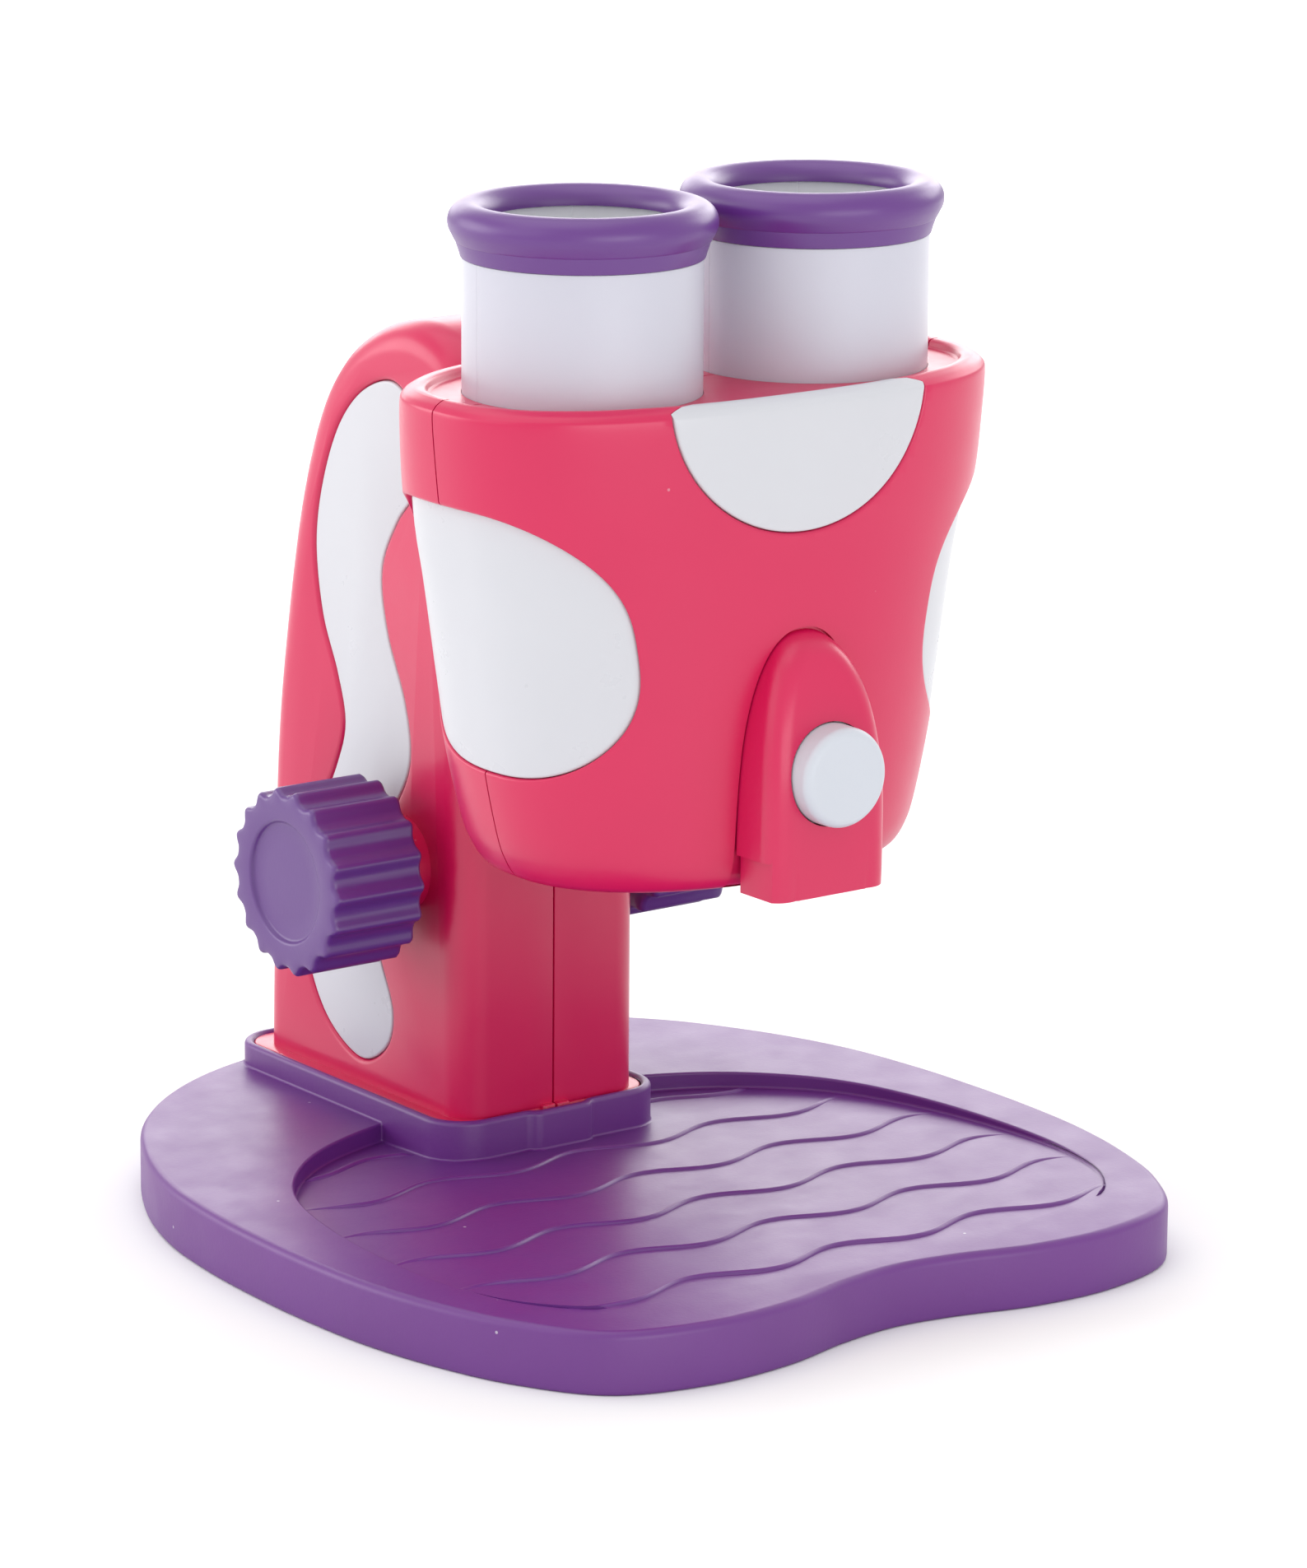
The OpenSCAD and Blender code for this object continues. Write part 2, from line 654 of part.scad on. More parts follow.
module head_screws() {
    color(steel) for (p = HEAD_SCREWS) translate([p.x, head_y - 7, p.y]) rotate([-90, 0, 0])
        screw(1.3, 16, 2.6, 1.8);
}

module carriage_screws() {
    color(steel) for (z = CARRIAGE_SCREWS) translate([0, 20, z]) rotate([90, 0, 0])
        screw(1.1, 14.5, 2.6, 1.8);
}

module side_panel(s) {
    color(white) intersection() {
        difference() {
            panel_form(0);
            panel_form(panel_t);
        }
        from_side(s < 0 ? -70 : 20, s < 0 ? -20 : 70) polygon(inset(PANEL_EDGE, panel_gap + 0.1));
    }
}

module side_panel_left() {
    side_panel(-1);
}

module side_panel_right() {
    side_panel(1);
}

module half_moon_panel() {
    color(white) difference() {
        intersection() {
            head_form(0);
            moon_seat(0.1);
        }
        // follows the skin down the front and lies flat on the top plate
        loft(concat([for (l = HEAD) if (l[0] > 140 && l[0] < 176) head_ring(l, panel_t)],
            [head_ring([top_plate - panel_t, 63.5, 36, 36, 2.45, 2.5], panel_t + 0.4)]));
        loft([head_ring([top_plate, 63, 35.6, 35.6, 2.45, 2.5], 4.6),
            head_ring([183, 63, 35.6, 35.6, 2.45, 2.5], 4)]);
    }
}

/* ---- eyepieces and optics ---- */
lens_seat = 198;

module eye_tube(x) {
    color([0.9, 0.88, 0.94, 0.85]) translate([x, head_y, 0]) rotate_extrude() polygon([
        [tube_r - 1.8, 160], [tube_r, 160], [tube_r, 174], [tube_r + 1.8, 174], [tube_r + 1.8, 176.6],
        [tube_r, 176.6], [tube_r, 205.2], [tube_r - 2, 205.2], [tube_r - 2, 212], [tube_r - 3.6, 212],
        [tube_r - 3.6, lens_seat], [tube_r - 1.8, lens_seat]]);
}

module eye_tube_left() {
    eye_tube(-eye_x);
}

module eye_tube_right() {
    eye_tube(eye_x);
}

module eyecup(x) {
    lip = 3.9;
    color(purple) translate([x, head_y, 0]) rotate_extrude() polygon(concat(
        [[tube_r - 2, 205.2], [tube_r + 0.3, 205.2], [tube_r + 0.9, 207.6]],
        [for (w = [-30 : 15 : 180]) [22.4 + lip * cos(w), top_z - lip + lip * sin(w)]],
        [[tube_r - 2, 212]]));
}

module eyecup_left() {
    eyecup(-eye_x);
}

module eyecup_right() {
    eyecup(eye_x);
}

// A double-convex lens of radius r, edge thickness e and crown c, on the Z axis
module lens(r, e, c) {
    bulge = (r * r + c * c) / (2 * c);
    rotate_extrude() polygon(concat([[0, -e / 2 - c]],
        [for (k = [1 : 8]) let (x = r * k / 8) [x, -e / 2 - c + bulge - sqrt(bulge * bulge - x * x)]],
        [for (k = [8 : -1 : 1]) let (x = r * k / 8) [x, e / 2 + c - bulge + sqrt(bulge * bulge - x * x)]],
        [[0, e / 2 + c]]));
}

module eye_lens(x) {
    color([0.8, 0.88, 0.95, 0.5]) translate([x, head_y, lens_seat - 1.5]) lens(tube_r - 1.85, 2.4, 1.6);
}

module eye_lens_left() {
    eye_lens(-eye_x);
}

module eye_lens_right() {
    eye_lens(eye_x);
}

module barrel_cone(s) {
    hull() {
        translate([s * eye_x, head_y, 157]) cylinder(h = 6, r = tube_r - 2.3, $fn = 40);
        translate([s * objective_x, head_y, 97.5]) cylinder(h = 1, r = 12.6, $fn = 40);
    }
}

module inner_barrel(s) {
    color("#26262a") difference() {
        union() {
            // sleeve that keeps the eye lens against its seat
            translate([s * eye_x, head_y, 158]) cylinder(h = lens_seat - 2.95 - 158, r = tube_r - 1.9);
            barrel_cone(s);
        }
        translate([s * eye_x, head_y, 161.5]) cylinder(h = 60, r = tube_r - 3.1);
        hull() {
            translate([s * eye_x, head_y, 156]) cylinder(h = 7, r = tube_r - 3.5, $fn = 40);
            translate([s * objective_x, head_y, 97]) cylinder(h = 1, r = 11.4, $fn = 40);
        }
    }
}

module inner_barrel_left() {
    inner_barrel(-1);
}

module inner_barrel_right() {
    inner_barrel(1);
}

module objective_holder() {
    color("#26262a") difference() {
        union() {
            slab(-30, head_y - 13.4, 30, head_y + 13.4, 12, head_floor + head_wall, 88);
            for (x = [-objective_x, objective_x]) translate([x, head_y, 87]) cylinder(h = 10.5, r = 12.8);
        }
        for (x = [-objective_x, objective_x]) translate([x, head_y, 0]) {
            cylinder(h = 200, r = 10.4);
            translate([0, 0, 90]) cylinder(h = 20, r = 11.4);
        }
    }
}

module objective_lenses() {
    color([0.8, 0.88, 0.95, 0.5]) for (x = [-objective_x, objective_x])
        translate([x, head_y, 92.15]) lens(11.3, 3.8, 1.4);
}

/* ---- light ---- */
pod_face = -72.7;
lamp_y = -67.75;

// The pod's front, seen from the side: it leans out from the top of the arch
module pod_form(cut) {
    from_side(-20, 20) polygon([[pod_face + cut, head_floor + cut], [pod_face + cut, 104],
        [pod_face + 0.8 + cut, 112], [pod_face + 2.7 + cut, 122], [pod_face + 5 + cut, 130],
        [pod_face + 8.2 + cut, 134.5], [-50, 136 - cut], [-50, head_floor + cut]]);
}

module light_pod() {
    color(pink) difference() {
        intersection() {
            from_front(-80, -50) polygon(inset(POD_EDGE, 0.15));
            pod_form(0);
        }
        // it seats on the head's front face and is hollow behind its wall
        head_form(-0.05);
        block([-20, -58.5, 0], [20, -40, 200]);
        difference() {
            intersection() {
                from_front(-80, -50) polygon(inset(POD_EDGE, 2.4));
                pod_form(2);
                block([-20, -80, 0], [20, -50, 119.5]);
            }
            // shelf for the lamp, and a flat seat for the button's flange
            block([-20, -80, 88], [20, -50, 90]);
            rod_y(0, button_z, 12.4, -80, -69.45);
        }
        rod_y(0, button_z, button_r + 0.3, -80, -66);
        rod_y(0, button_z, button_r + 1.5, -69.45, -60);
        translate([0, lamp_y, 80]) {
            cylinder(h = 12, r = 2.5);
            translate([0, 0, 4.7]) cylinder(h = 1.4, r = 3.4);
        }
        for (p = POD_SCREWS) rod_y(p.x, p.y, 1.13, -67, -50);
    }
}

module pod_screws() {
    color(steel) for (p = POD_SCREWS) translate([p.x, -66.5, p.y]) rotate([-90, 0, 0])
        screw(1.1, 9.5, 2, 1.3);
}

module light_board() {
    color("#2f6b3c") difference() {
        block([-12.4, -58.5, 89.6], [12.4, -57, 126]);
        for (p = POD_SCREWS) rod_y(p.x, p.y, 1.13, -60, -50);
    }
}

module light_switch() {
    color("#202024") difference() {
        block([-3.5, -63.5, button_z - 3.5], [3.5, -58.5, button_z + 3.5]);
        rod_y(0, button_z, 1.68, -70, -59.2);
    }
}

module switch_stem() {
    color("#d8d2c4") rod_y(0, button_z, 1.6, -67.5, -61.5);
}

module light_button() {
    color(white) translate([0, 0, button_z]) rotate([90, 0, 0]) rotate_extrude() polygon([
        [0, 67.5], [2.4, 67.5], [2.4, 75.3], [8.2, 75.3], [8.2, 68.2], [button_r + 1.2, 68.2],
        [button_r + 1.2, 69.4], [button_r, 69.4], [button_r, 76.2], [button_r - 0.3, 76.9],
        [button_r - 1, 77.3], [0, 77.3]]);
}

module led() {
    color([0.95, 0.95, 0.85, 0.9]) translate([0, lamp_y, 0]) {
        translate([0, 0, 87.4]) cylinder(h = 2.8, r = 2.4);
        translate([0, 0, 90]) cylinder(h = 1, r = 2.9);
        for (x = [-1.3, 1.3]) {
            block([x - 0.25, -0.25, 90.8], [x + 0.25, 0.25, 93.2]);
            block([x - 0.25, -0.25, 92.7], [x + 0.25, 9.25, 93.2]);
        }
    }
}

module led_window() {
    color([0.9, 0.95, 1, 0.5]) translate([0, lamp_y, 0]) {
        translate([0, 0, head_floor]) cylinder(h = 2, r = 2.45);
        translate([0, 0, 84.7]) cylinder(h = 1.3, r = 3.35);
    }
}

base();
arm_left();
arm_right();
arm_inlay_left();
arm_inlay_right();
axle_bushes();
brake_washers();
arm_screws();
base_screws();
battery_tray();
battery_cells();
battery_contacts();
battery_door();
door_screw();
knob_axle();
drive_pinion();
focus_knob_left();
focus_knob_right();
focus_carriage();
carriage_screws();
head_front_shell();
head_rear_shell();
head_screws();
half_moon_panel();
side_panel_left();
side_panel_right();
eye_tube_left();
eye_tube_right();
eyecup_left();
eyecup_right();
eye_lens_left();
eye_lens_right();
inner_barrel_left();
inner_barrel_right();
objective_holder();
objective_lenses();
light_pod();
pod_screws();
light_board();
light_switch();
switch_stem();
led();
led_window();
light_button();
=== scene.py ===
import math

import bmesh
import bpy
from mathutils import Matrix, Vector


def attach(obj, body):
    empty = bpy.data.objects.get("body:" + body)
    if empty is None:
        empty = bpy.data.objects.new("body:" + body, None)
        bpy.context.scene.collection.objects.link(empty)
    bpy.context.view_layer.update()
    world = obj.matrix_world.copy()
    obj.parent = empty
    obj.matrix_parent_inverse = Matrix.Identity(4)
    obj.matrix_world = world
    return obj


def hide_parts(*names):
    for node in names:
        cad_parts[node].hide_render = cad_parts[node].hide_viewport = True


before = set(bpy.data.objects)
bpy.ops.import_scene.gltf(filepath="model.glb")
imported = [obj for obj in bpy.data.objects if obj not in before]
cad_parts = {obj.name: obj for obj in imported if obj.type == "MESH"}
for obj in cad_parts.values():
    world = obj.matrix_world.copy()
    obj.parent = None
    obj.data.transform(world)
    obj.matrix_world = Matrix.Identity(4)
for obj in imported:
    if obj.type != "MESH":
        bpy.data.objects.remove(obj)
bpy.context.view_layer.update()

# Sizes are in millimetres, turned into metres by MM where a mesh is made.
MM = 0.001
SEAM = 0.18  # half the gap between two shells
HEAD_Y = -27.7  # the middle of the head, front to back
EYE_X = 28.0
OBJECTIVE_X = 17.0
TUBE_R = 23.5
TUBE_WALL = 1.8
CUP_TOP = 216
TOP_PLATE = 178.6
RIM_Z = 176.6  # where the head is widest
PANEL_Z = 132.8
PANEL_GAP = 0.14
PANEL_THICK = 1.6
ARM_W = 23.0  # half the arm's width
ARM_FRONT = 19.8
ARM_ROUND = 7.0
BASE_TOP = 12.8
STAGE_DEPTH = 4.0
AXLE = (41.3, 68.7)
FLUTES = 18
POD_W = 14.6
POD_FOOT = 82.85
POD_ROUND = 4.4
POD_BACK = -61.4
BUTTON_Z = 107

BASE_HALF = [(0, -94.4), (14, -96.2), (31, -100.4), (50, -100.9), (69, -94.8), (80.5, -79), (87, -61),
             (90.6, -43), (91.9, -25), (91.9, -7), (90.7, 12.4), (87.2, 33), (79.2, 54), (66.5, 74.3),
             (47.8, 90.4), (25, 100), (0, 101.7)]
STAGE_HALF = [(0, -86), (30, -87), (58, -84), (71, -73), (77, -56), (78.5, -36), (76.5, -12),
              (71, 9), (61, 24), (46, 35.5), (24, 43), (0, 44)]
ARM_BACK = [(95.9, 2), (95.2, 30), (94.3, 52), (92.9, 82), (89.6, 107), (83.4, 137), (75.6, 158.5),
            (66.2, 171.2), (55, 178.4), (43, 181.6), (33, 181), (25.6, 177.6), (21.2, 171.6),
            (ARM_FRONT, 164)]
INLAY = [(44, 168.5), (55, 166.3), (64.5, 158), (71, 145), (73.8, 131), (71.5, 116), (66, 104),
         (63.3, 94), (66.5, 84.5), (74, 71), (79, 56), (78, 41), (70.5, 28.5), (58, 22.4), (48.5, 27),
         (46, 35), (50, 44.5), (54.5, 54), (54.2, 68), (45.5, 79), (39.6, 90), (41.2, 102), (47.6, 116),
         (49.6, 129), (44, 140), (36, 149), (35, 160)]
# Height, half width, front depth, rear depth, front squareness and rear squareness
HEAD = [(82.8, 42, 29.5, 30.5, 2.15, 2.4), (84, 44, 32, 33, 2.15, 2.4), (87, 46, 33.6, 34.4, 2.15, 2.4),
        (92, 48, 34.4, 35.4, 2.15, 2.45), (104.5, 50.9, 35, 36.2, 2.2, 2.55), (120, 53.5, 35, 36.5, 2.3, 2.7),
        (140, 57, 35, 36.5, 2.42, 2.85), (150, 59.6, 35.1, 36.5, 2.45, 2.8),
        (158, 61.6, 35.5, 36.5, 2.45, 2.65), (166, 62.6, 35.8, 36.3, 2.45, 2.6),
        (RIM_Z, 63.5, 36, 36, 2.45, 2.5), (179, 62.9, 35.4, 35.4, 2.45, 2.5),
        (180.3, 61, 33.5, 33.5, 2.45, 2.5)]


# ---- curves ----

def bend(a, b, c, d, t):
    """The point at a share t of the way from b to c on a smooth curve through a, b, c and d."""
    return [0.5 * (2 * q + (r - p) * t + (2 * p - 5 * q + 4 * r - s) * t * t
                   + (3 * q - p - 3 * r + s) * t ** 3)
            for p, q, r, s in zip(a, b, c, d)]


def round_curve(points, share):
    """The point at a share of the way round a closed smooth curve."""
    n = len(points)
    at = (share % 1.0) * n
    i = int(at)
    return bend(points[i - 1], points[i % n], points[(i + 1) % n], points[(i + 2) % n], at - i)


def open_curve(points, steps):
    """A smooth curve through the points, with some steps between two of them."""
    last = len(points) - 1
    made = [bend(points[max(i - 1, 0)], points[i], points[i + 1], points[min(i + 2, last)], k / steps)
            for i in range(last) for k in range(steps)]
    return made + [list(points[-1])]


def even_closed(curve, count):
    """Evenly spaced points on a closed curve given as a function of share."""
    fine = [Vector(curve(k / 4000)) for k in range(4001)]
    length = [0.0]
    for a, b in zip(fine, fine[1:]):
        length.append(length[-1] + (b - a).length)
    even, j = [], 0
    for k in range(count):
        goal = length[-1] * k / count
        while length[j + 1] < goal:
            j += 1
        t = (goal - length[j]) / max(length[j + 1] - length[j], 1e-9)
        even.append(fine[j].lerp(fine[j + 1], t))
    return even


def gap_to(point, points, i, reach):
    """The distance from a point to the outline near its i-th corner."""
    n = len(points)
    best = 1e9
    for k in range(-reach, reach):
        a, b = points[(i + k) % n], points[(i + k + 1) % n]
        side = b - a
        t = max(0.0, min(1.0, (point - a).dot(side) / max(side.length_squared, 1e-12)))
        best = min(best, (point - a - side * t).length_squared)
    return math.sqrt(best)


def moved_in(points, d):
    """A closed outline, drawn anticlockwise, moved inwards by d; tight corners close up."""
    if d == 0:
        return list(points)
    n = len(points)
    out, good = [], []
    for i in range(n):
        along = (points[(i + 1) % n] - points[i - 1]).normalized()
        q = points[i] + Vector((-along.y, along.x)) * d
        out.append(q)
        good.append(abs(d) < 0.4 or gap_to(q, points, i, min(45, n // 2)) > abs(d) * 0.98)
    if all(good) or not any(good):
        return out
    start = good.index(True)
    i = start
    while i < start + n:
        if good[i % n]:
            i += 1
            continue
        j = i
        while not good[j % n]:
            j += 1
        meet = (out[(i - 1) % n] + out[j % n]) / 2
        for k in range(i, j):
            out[k % n] = meet.copy()
        i = j
    return out


def both_halves(half):
    return list(half) + [(-x, y) for x, y in half[-2:0:-1]]


def signed_power(v, e):
    return math.copysign(abs(v) ** e, v)


def round_box(x0, y0, x1, y1, r, per_corner=10, lobe=None):
    """A rectangle with round corners, anticlockwise; lobe adds a bump on the -Y side."""
    points = []
    corners = ((x1 - r, y0 + r, -90), (x1 - r, y1 - r, 0), (x0 + r, y1 - r, 90), (x0 + r, y0 + r, 180))
    for cx, cy, start in corners:
        for k in range(per_corner + 1):
            w = math.radians(start + 90 * k / per_corner)
            points.append(Vector((cx + r * math.cos(w), cy + r * math.sin(w))))
    if lobe:
        half, proud = lobe
        for x in (-half - 2, -half - 1, -half - 0.2, -half + 0.6, -half + 1.8, 0,
                  half - 1.8, half - 0.6, half + 0.2, half + 1, half + 2):
            lift = max(0.0, min(1.0, (half + 1.5 - abs(x)) / 2.4))
            lift = lift * lift * (3 - 2 * lift)
            points.append(Vector((x, y0 - proud * lift)))
    return points


def rounded(inset, height, r, steps):
    """Steps of (inset, height) round a quarter circle, without its first one."""
    return [(inset + r * (1 - math.cos(w)), height + r * math.sin(w))
            for w in [math.radians(90 / steps * k) for k in range(1, steps + 1)]]


# ---- making meshes ----

def join_rings(rings, low="face", high="face"):
    """A closed skin through rings of points; each end is a face or is drawn to a point."""
    bm = bmesh.new()
    place = bm.verts.layers.int.new("place")
    verts = bmesh.ops.create_circle(bm, segments=len(rings[0]), radius=1)["verts"]
    for i, v in enumerate(verts):
        v[place] = i
    edges = list(bm.edges)
    first = list(edges)

    def settle(some, ring):
        for v in some:
            v.co = Vector(ring[v[place]]) * MM

    settle(verts, rings[0])
    for ring in rings[1:]:
        grown = bmesh.ops.extrude_edge_only(bm, edges=edges)["geom"]
        edges = [g for g in grown if isinstance(g, bmesh.types.BMEdge)]
        settle([g for g in grown if isinstance(g, bmesh.types.BMVert)], ring)
    for kind, loop in ((low, first), (high, edges)):
        if kind == "face":
            bmesh.ops.edgeloop_fill(bm, edges=loop)
        else:
            around = {v for e in loop for v in e.verts}
            middle = sum((v.co for v in around), Vector()) / len(loop)
            bmesh.ops.pointmerge(bm, verts=list(around), merge_co=middle)
    bmesh.ops.remove_doubles(bm, verts=bm.verts, dist=1e-6)
    bmesh.ops.dissolve_degenerate(bm, dist=1e-7, edges=bm.edges)
    bmesh.ops.recalc_face_normals(bm, faces=bm.faces)
    return bm


def upright(points, z):
    return [(p[0], p[1], z) for p in points]


def stacked(points, steps):
    """An outline in X and Y carried up through steps of (inset, height)."""
    return join_rings([upright(moved_in(points, d), z) for d, z in steps])


def sideways(points, steps):
    """An outline in Y and Z carried along X through steps of (inset, x)."""
    return join_rings([[(x, p[0], p[1]) for p in moved_in(points, d)] for d, x in steps])


def frontways(points, steps):
    """An outline in X and Z carried along Y through steps of (inset, y)."""
    return join_rings([[(p[0], y, p[1]) for p in moved_in(points, d)] for d, y in steps])


def turned(profile, centre, axis, steps=128, closed=True):
    """A profile of (radius, height along the axis) spun all the way round."""
    bm = bmesh.new()
    axis = Vector(axis)
    side = Vector((1, 0, 0)) if abs(axis.x) < 0.5 else Vector((0, 1, 0))
    verts = [bm.verts.new((Vector(centre) + side * r + axis * h) * MM) for r, h in profile]
    edges = [bm.edges.new(pair) for pair in zip(verts, verts[1:])]
    if closed:
        edges.append(bm.edges.new((verts[-1], verts[0])))
    bmesh.ops.spin(bm, geom=verts + edges, cent=Vector(centre) * MM, axis=axis, angle=math.tau, steps=steps,
                   use_merge=True, use_duplicate=False)
    bmesh.ops.remove_doubles(bm, verts=bm.verts, dist=1e-7)
    bmesh.ops.recalc_face_normals(bm, faces=bm.faces)
    return bm


def block(lo, hi):
    bm = bmesh.new()
    bmesh.ops.create_cube(bm, size=1)
    lo, hi = Vector(lo) * MM, Vector(hi) * MM
    bmesh.ops.scale(bm, vec=hi - lo, verts=bm.verts)
    bmesh.ops.translate(bm, vec=(hi + lo) / 2, verts=bm.verts)
    return bm


def rod(start, end, r, segments=64):
    bm = bmesh.new()
    start, end = Vector(start) * MM, Vector(end) * MM
    turn = (end - start).to_track_quat("Z", "Y").to_matrix().to_4x4()
    bmesh.ops.create_cone(bm, cap_ends=True, segments=segments, radius1=r * MM, radius2=r * MM,
                          depth=(end - start).length, matrix=Matrix.Translation((start + end) / 2) @ turn)
    return bm


def body_of_mesh(bm):
    mesh = bpy.data.meshes.new("work")
    bm.to_mesh(mesh)
    bm.free()
    obj = bpy.data.objects.new("work", mesh)
    bpy.context.scene.collection.objects.link(obj)
    return obj


def together(*bms):
    """Several separate solids as one object."""
    whole = bmesh.new()
    for bm in bms:
        mesh = bpy.data.meshes.new("part")
        bm.to_mesh(mesh)
        bm.free()
        whole.from_mesh(mesh)
        bpy.data.meshes.remove(mesh)
    return whole


def shape(obj, other, how="DIFFERENCE", keep=False):
    """Cuts, joins or crosses one solid with another."""
    if not isinstance(other, bpy.types.Object):
        other = body_of_mesh(other)
    step = obj.modifiers.new("shape", "BOOLEAN")
    step.operation = how
    step.solver = "MANIFOLD"
    step.object = other
    graph = bpy.context.evaluated_depsgraph_get()
    made = bpy.data.meshes.new_from_object(obj.evaluated_get(graph))
    obj.modifiers.clear()
    old, obj.data = obj.data, made
    bpy.data.meshes.remove(old)
    if not keep:
        bpy.data.objects.remove(other)
    return obj


def copy_of(obj):
    twin = obj.copy()
    twin.data = obj.data.copy()
    bpy.context.scene.collection.objects.link(twin)
    return twin


def mirrored(obj):
    """The same solid on the other side of the middle plane."""
    twin = copy_of(obj)
    bm = bmesh.new()
    bm.from_mesh(twin.data)
    bmesh.ops.scale(bm, vec=(-1, 1, 1), verts=bm.verts)
    bmesh.ops.reverse_faces(bm, faces=bm.faces)
    bm.to_mesh(twin.data)
    bm.free()
    return twin


def finished(obj, name, body, finish, replaces=None, edge=0.0, segments=3, sharp=32):
    """Names a piece, rounds its edges, gives it its finish and ties it to its body."""
    if isinstance(obj, bmesh.types.BMesh):
        obj = body_of_mesh(obj)
    obj.name = name
    obj.data.name = name
    obj.data.materials.clear()
    obj.data.materials.append(FINISHES[finish]())
    obj.data.shade_smooth()
    if edge:
        rounding = obj.modifiers.new("edges", "BEVEL")
        rounding.width = edge * MM
        rounding.segments = segments
        rounding.limit_method = "ANGLE"
        rounding.angle_limit = math.radians(sharp)
        rounding.harden_normals = True
        rounding.miter_outer = "MITER_ARC"
        rounding.use_clamp_overlap = False
    else:
        obj.data.set_sharp_from_angle(angle=math.radians(sharp))
    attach(obj, body)
    if replaces:
        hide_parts(replaces)
    return obj


# ---- finishes ----

def socket(group, name, kind, value=None):
    """An input with a value, or an output without one."""
    way = "OUTPUT" if value is None else "INPUT"
    made = group.interface.new_socket(name=name, in_out=way, socket_type="NodeSocket" + kind)
    if value is not None:
        made.default_value = value


def moulded_surface():
    """Colour mottling, gloss variation and spark-eroded grain of a moulded plastic surface."""
    group = bpy.data.node_groups.new("moulded_surface", "ShaderNodeTree")
    socket(group, "Colour", "Color", (0.5, 0.5, 0.5, 1))
    socket(group, "Roughness", "Float", 0.4)
    socket(group, "Grain Size", "Float", 1.0)
    socket(group, "Grain Depth", "Float", 0.2)
    socket(group, "Mottling", "Float", 0.03)
    socket(group, "Specks", "Float", 0.0)
    socket(group, "Colour", "Color")
    socket(group, "Roughness", "Float")
    socket(group, "Normal", "Vector")
    nodes, links = group.nodes, group.links
    given = nodes.new("NodeGroupInput")
    result = nodes.new("NodeGroupOutput")
    where = nodes.new("ShaderNodeTexCoord")

    def noise(scale, detail):
        made = nodes.new("ShaderNodeTexNoise")
        made.inputs["Scale"].default_value = scale
        made.inputs["Detail"].default_value = detail
        made.inputs["Roughness"].default_value = 0.6
        links.new(where.outputs["Object"], made.inputs["Vector"])
        return made

    def maths(operation, first, second):
        """A maths node fed by two numbers or outputs."""
        made = nodes.new("ShaderNodeMath")
        made.operation = operation
        for place, term in ((0, first), (1, second)):
            if isinstance(term, float):
                made.inputs[place].default_value = term
            else:
                links.new(term, made.inputs[place])
        return made.outputs[0]

    def ramp(source, low_in, high_in, low_out, high_out):
        """Maps a range of values onto another."""
        made = nodes.new("ShaderNodeMapRange")
        limits = (("From Min", low_in), ("From Max", high_in), ("To Min", low_out), ("To Max", high_out))
        links.new(source, made.inputs["Value"])
        for name, limit in limits:
            if isinstance(limit, float):
                made.inputs[name].default_value = limit
            else:
                links.new(limit, made.inputs[name])
        return made.outputs["Result"]

    cloud = noise(26.0, 3.0)
    grain = noise(1500.0, 2.0)
    links.new(maths("MULTIPLY", given.outputs["Grain Size"], 1500.0), grain.inputs["Scale"])
    sweep = noise(90.0, 4.0)

    # Colour: slow flow mottling, then rare pale specks of dust
    mottling = given.outputs["Mottling"]
    darkest = maths("SUBTRACT", 1.0, mottling)
    swing = ramp(cloud.outputs["Fac"], 0.3, 0.7, darkest, maths("ADD", 1.0, mottling))
    tint = nodes.new("ShaderNodeVectorMath")
    tint.operation = "SCALE"
    links.new(given.outputs["Colour"], tint.inputs[0])
    links.new(swing, tint.inputs["Scale"])
    spots = nodes.new("ShaderNodeTexVoronoi")
    spots.inputs["Scale"].default_value = 160.0
    links.new(where.outputs["Object"], spots.inputs["Vector"])
    separate = nodes.new("ShaderNodeSeparateColor")
    links.new(spots.outputs["Color"], separate.inputs["Color"])
    small = ramp(spots.outputs["Distance"], 0.035, 0.06, 1.0, 0.0)
    rare = maths("GREATER_THAN", separate.outputs["Red"], 0.82)
    amount = maths("MULTIPLY", maths("MULTIPLY", small, rare), given.outputs["Specks"])
    dusted = nodes.new("ShaderNodeMix")
    dusted.data_type = "RGBA"
    dusted.inputs["B"].default_value = (0.75, 0.72, 0.78, 1)
    links.new(amount, dusted.inputs["Factor"])
    links.new(tint.outputs["Vector"], dusted.inputs["A"])
    links.new(dusted.outputs["Result"], result.inputs["Colour"])

    # Gloss: handled patches are a little smoother
    change = ramp(sweep.outputs["Fac"], 0.3, 0.7, -0.035, 0.035)
    links.new(maths("ADD", given.outputs["Roughness"], change), result.inputs["Roughness"])

    # Grain
    bump = nodes.new("ShaderNodeBump")
    bump.inputs["Distance"].default_value = 0.00005
    links.new(grain.outputs["Fac"], bump.inputs["Height"])
    links.new(given.outputs["Grain Depth"], bump.inputs["Strength"])
    links.new(bump.outputs["Normal"], result.inputs["Normal"])
    return group


SURFACE = moulded_surface()
MADE = {}


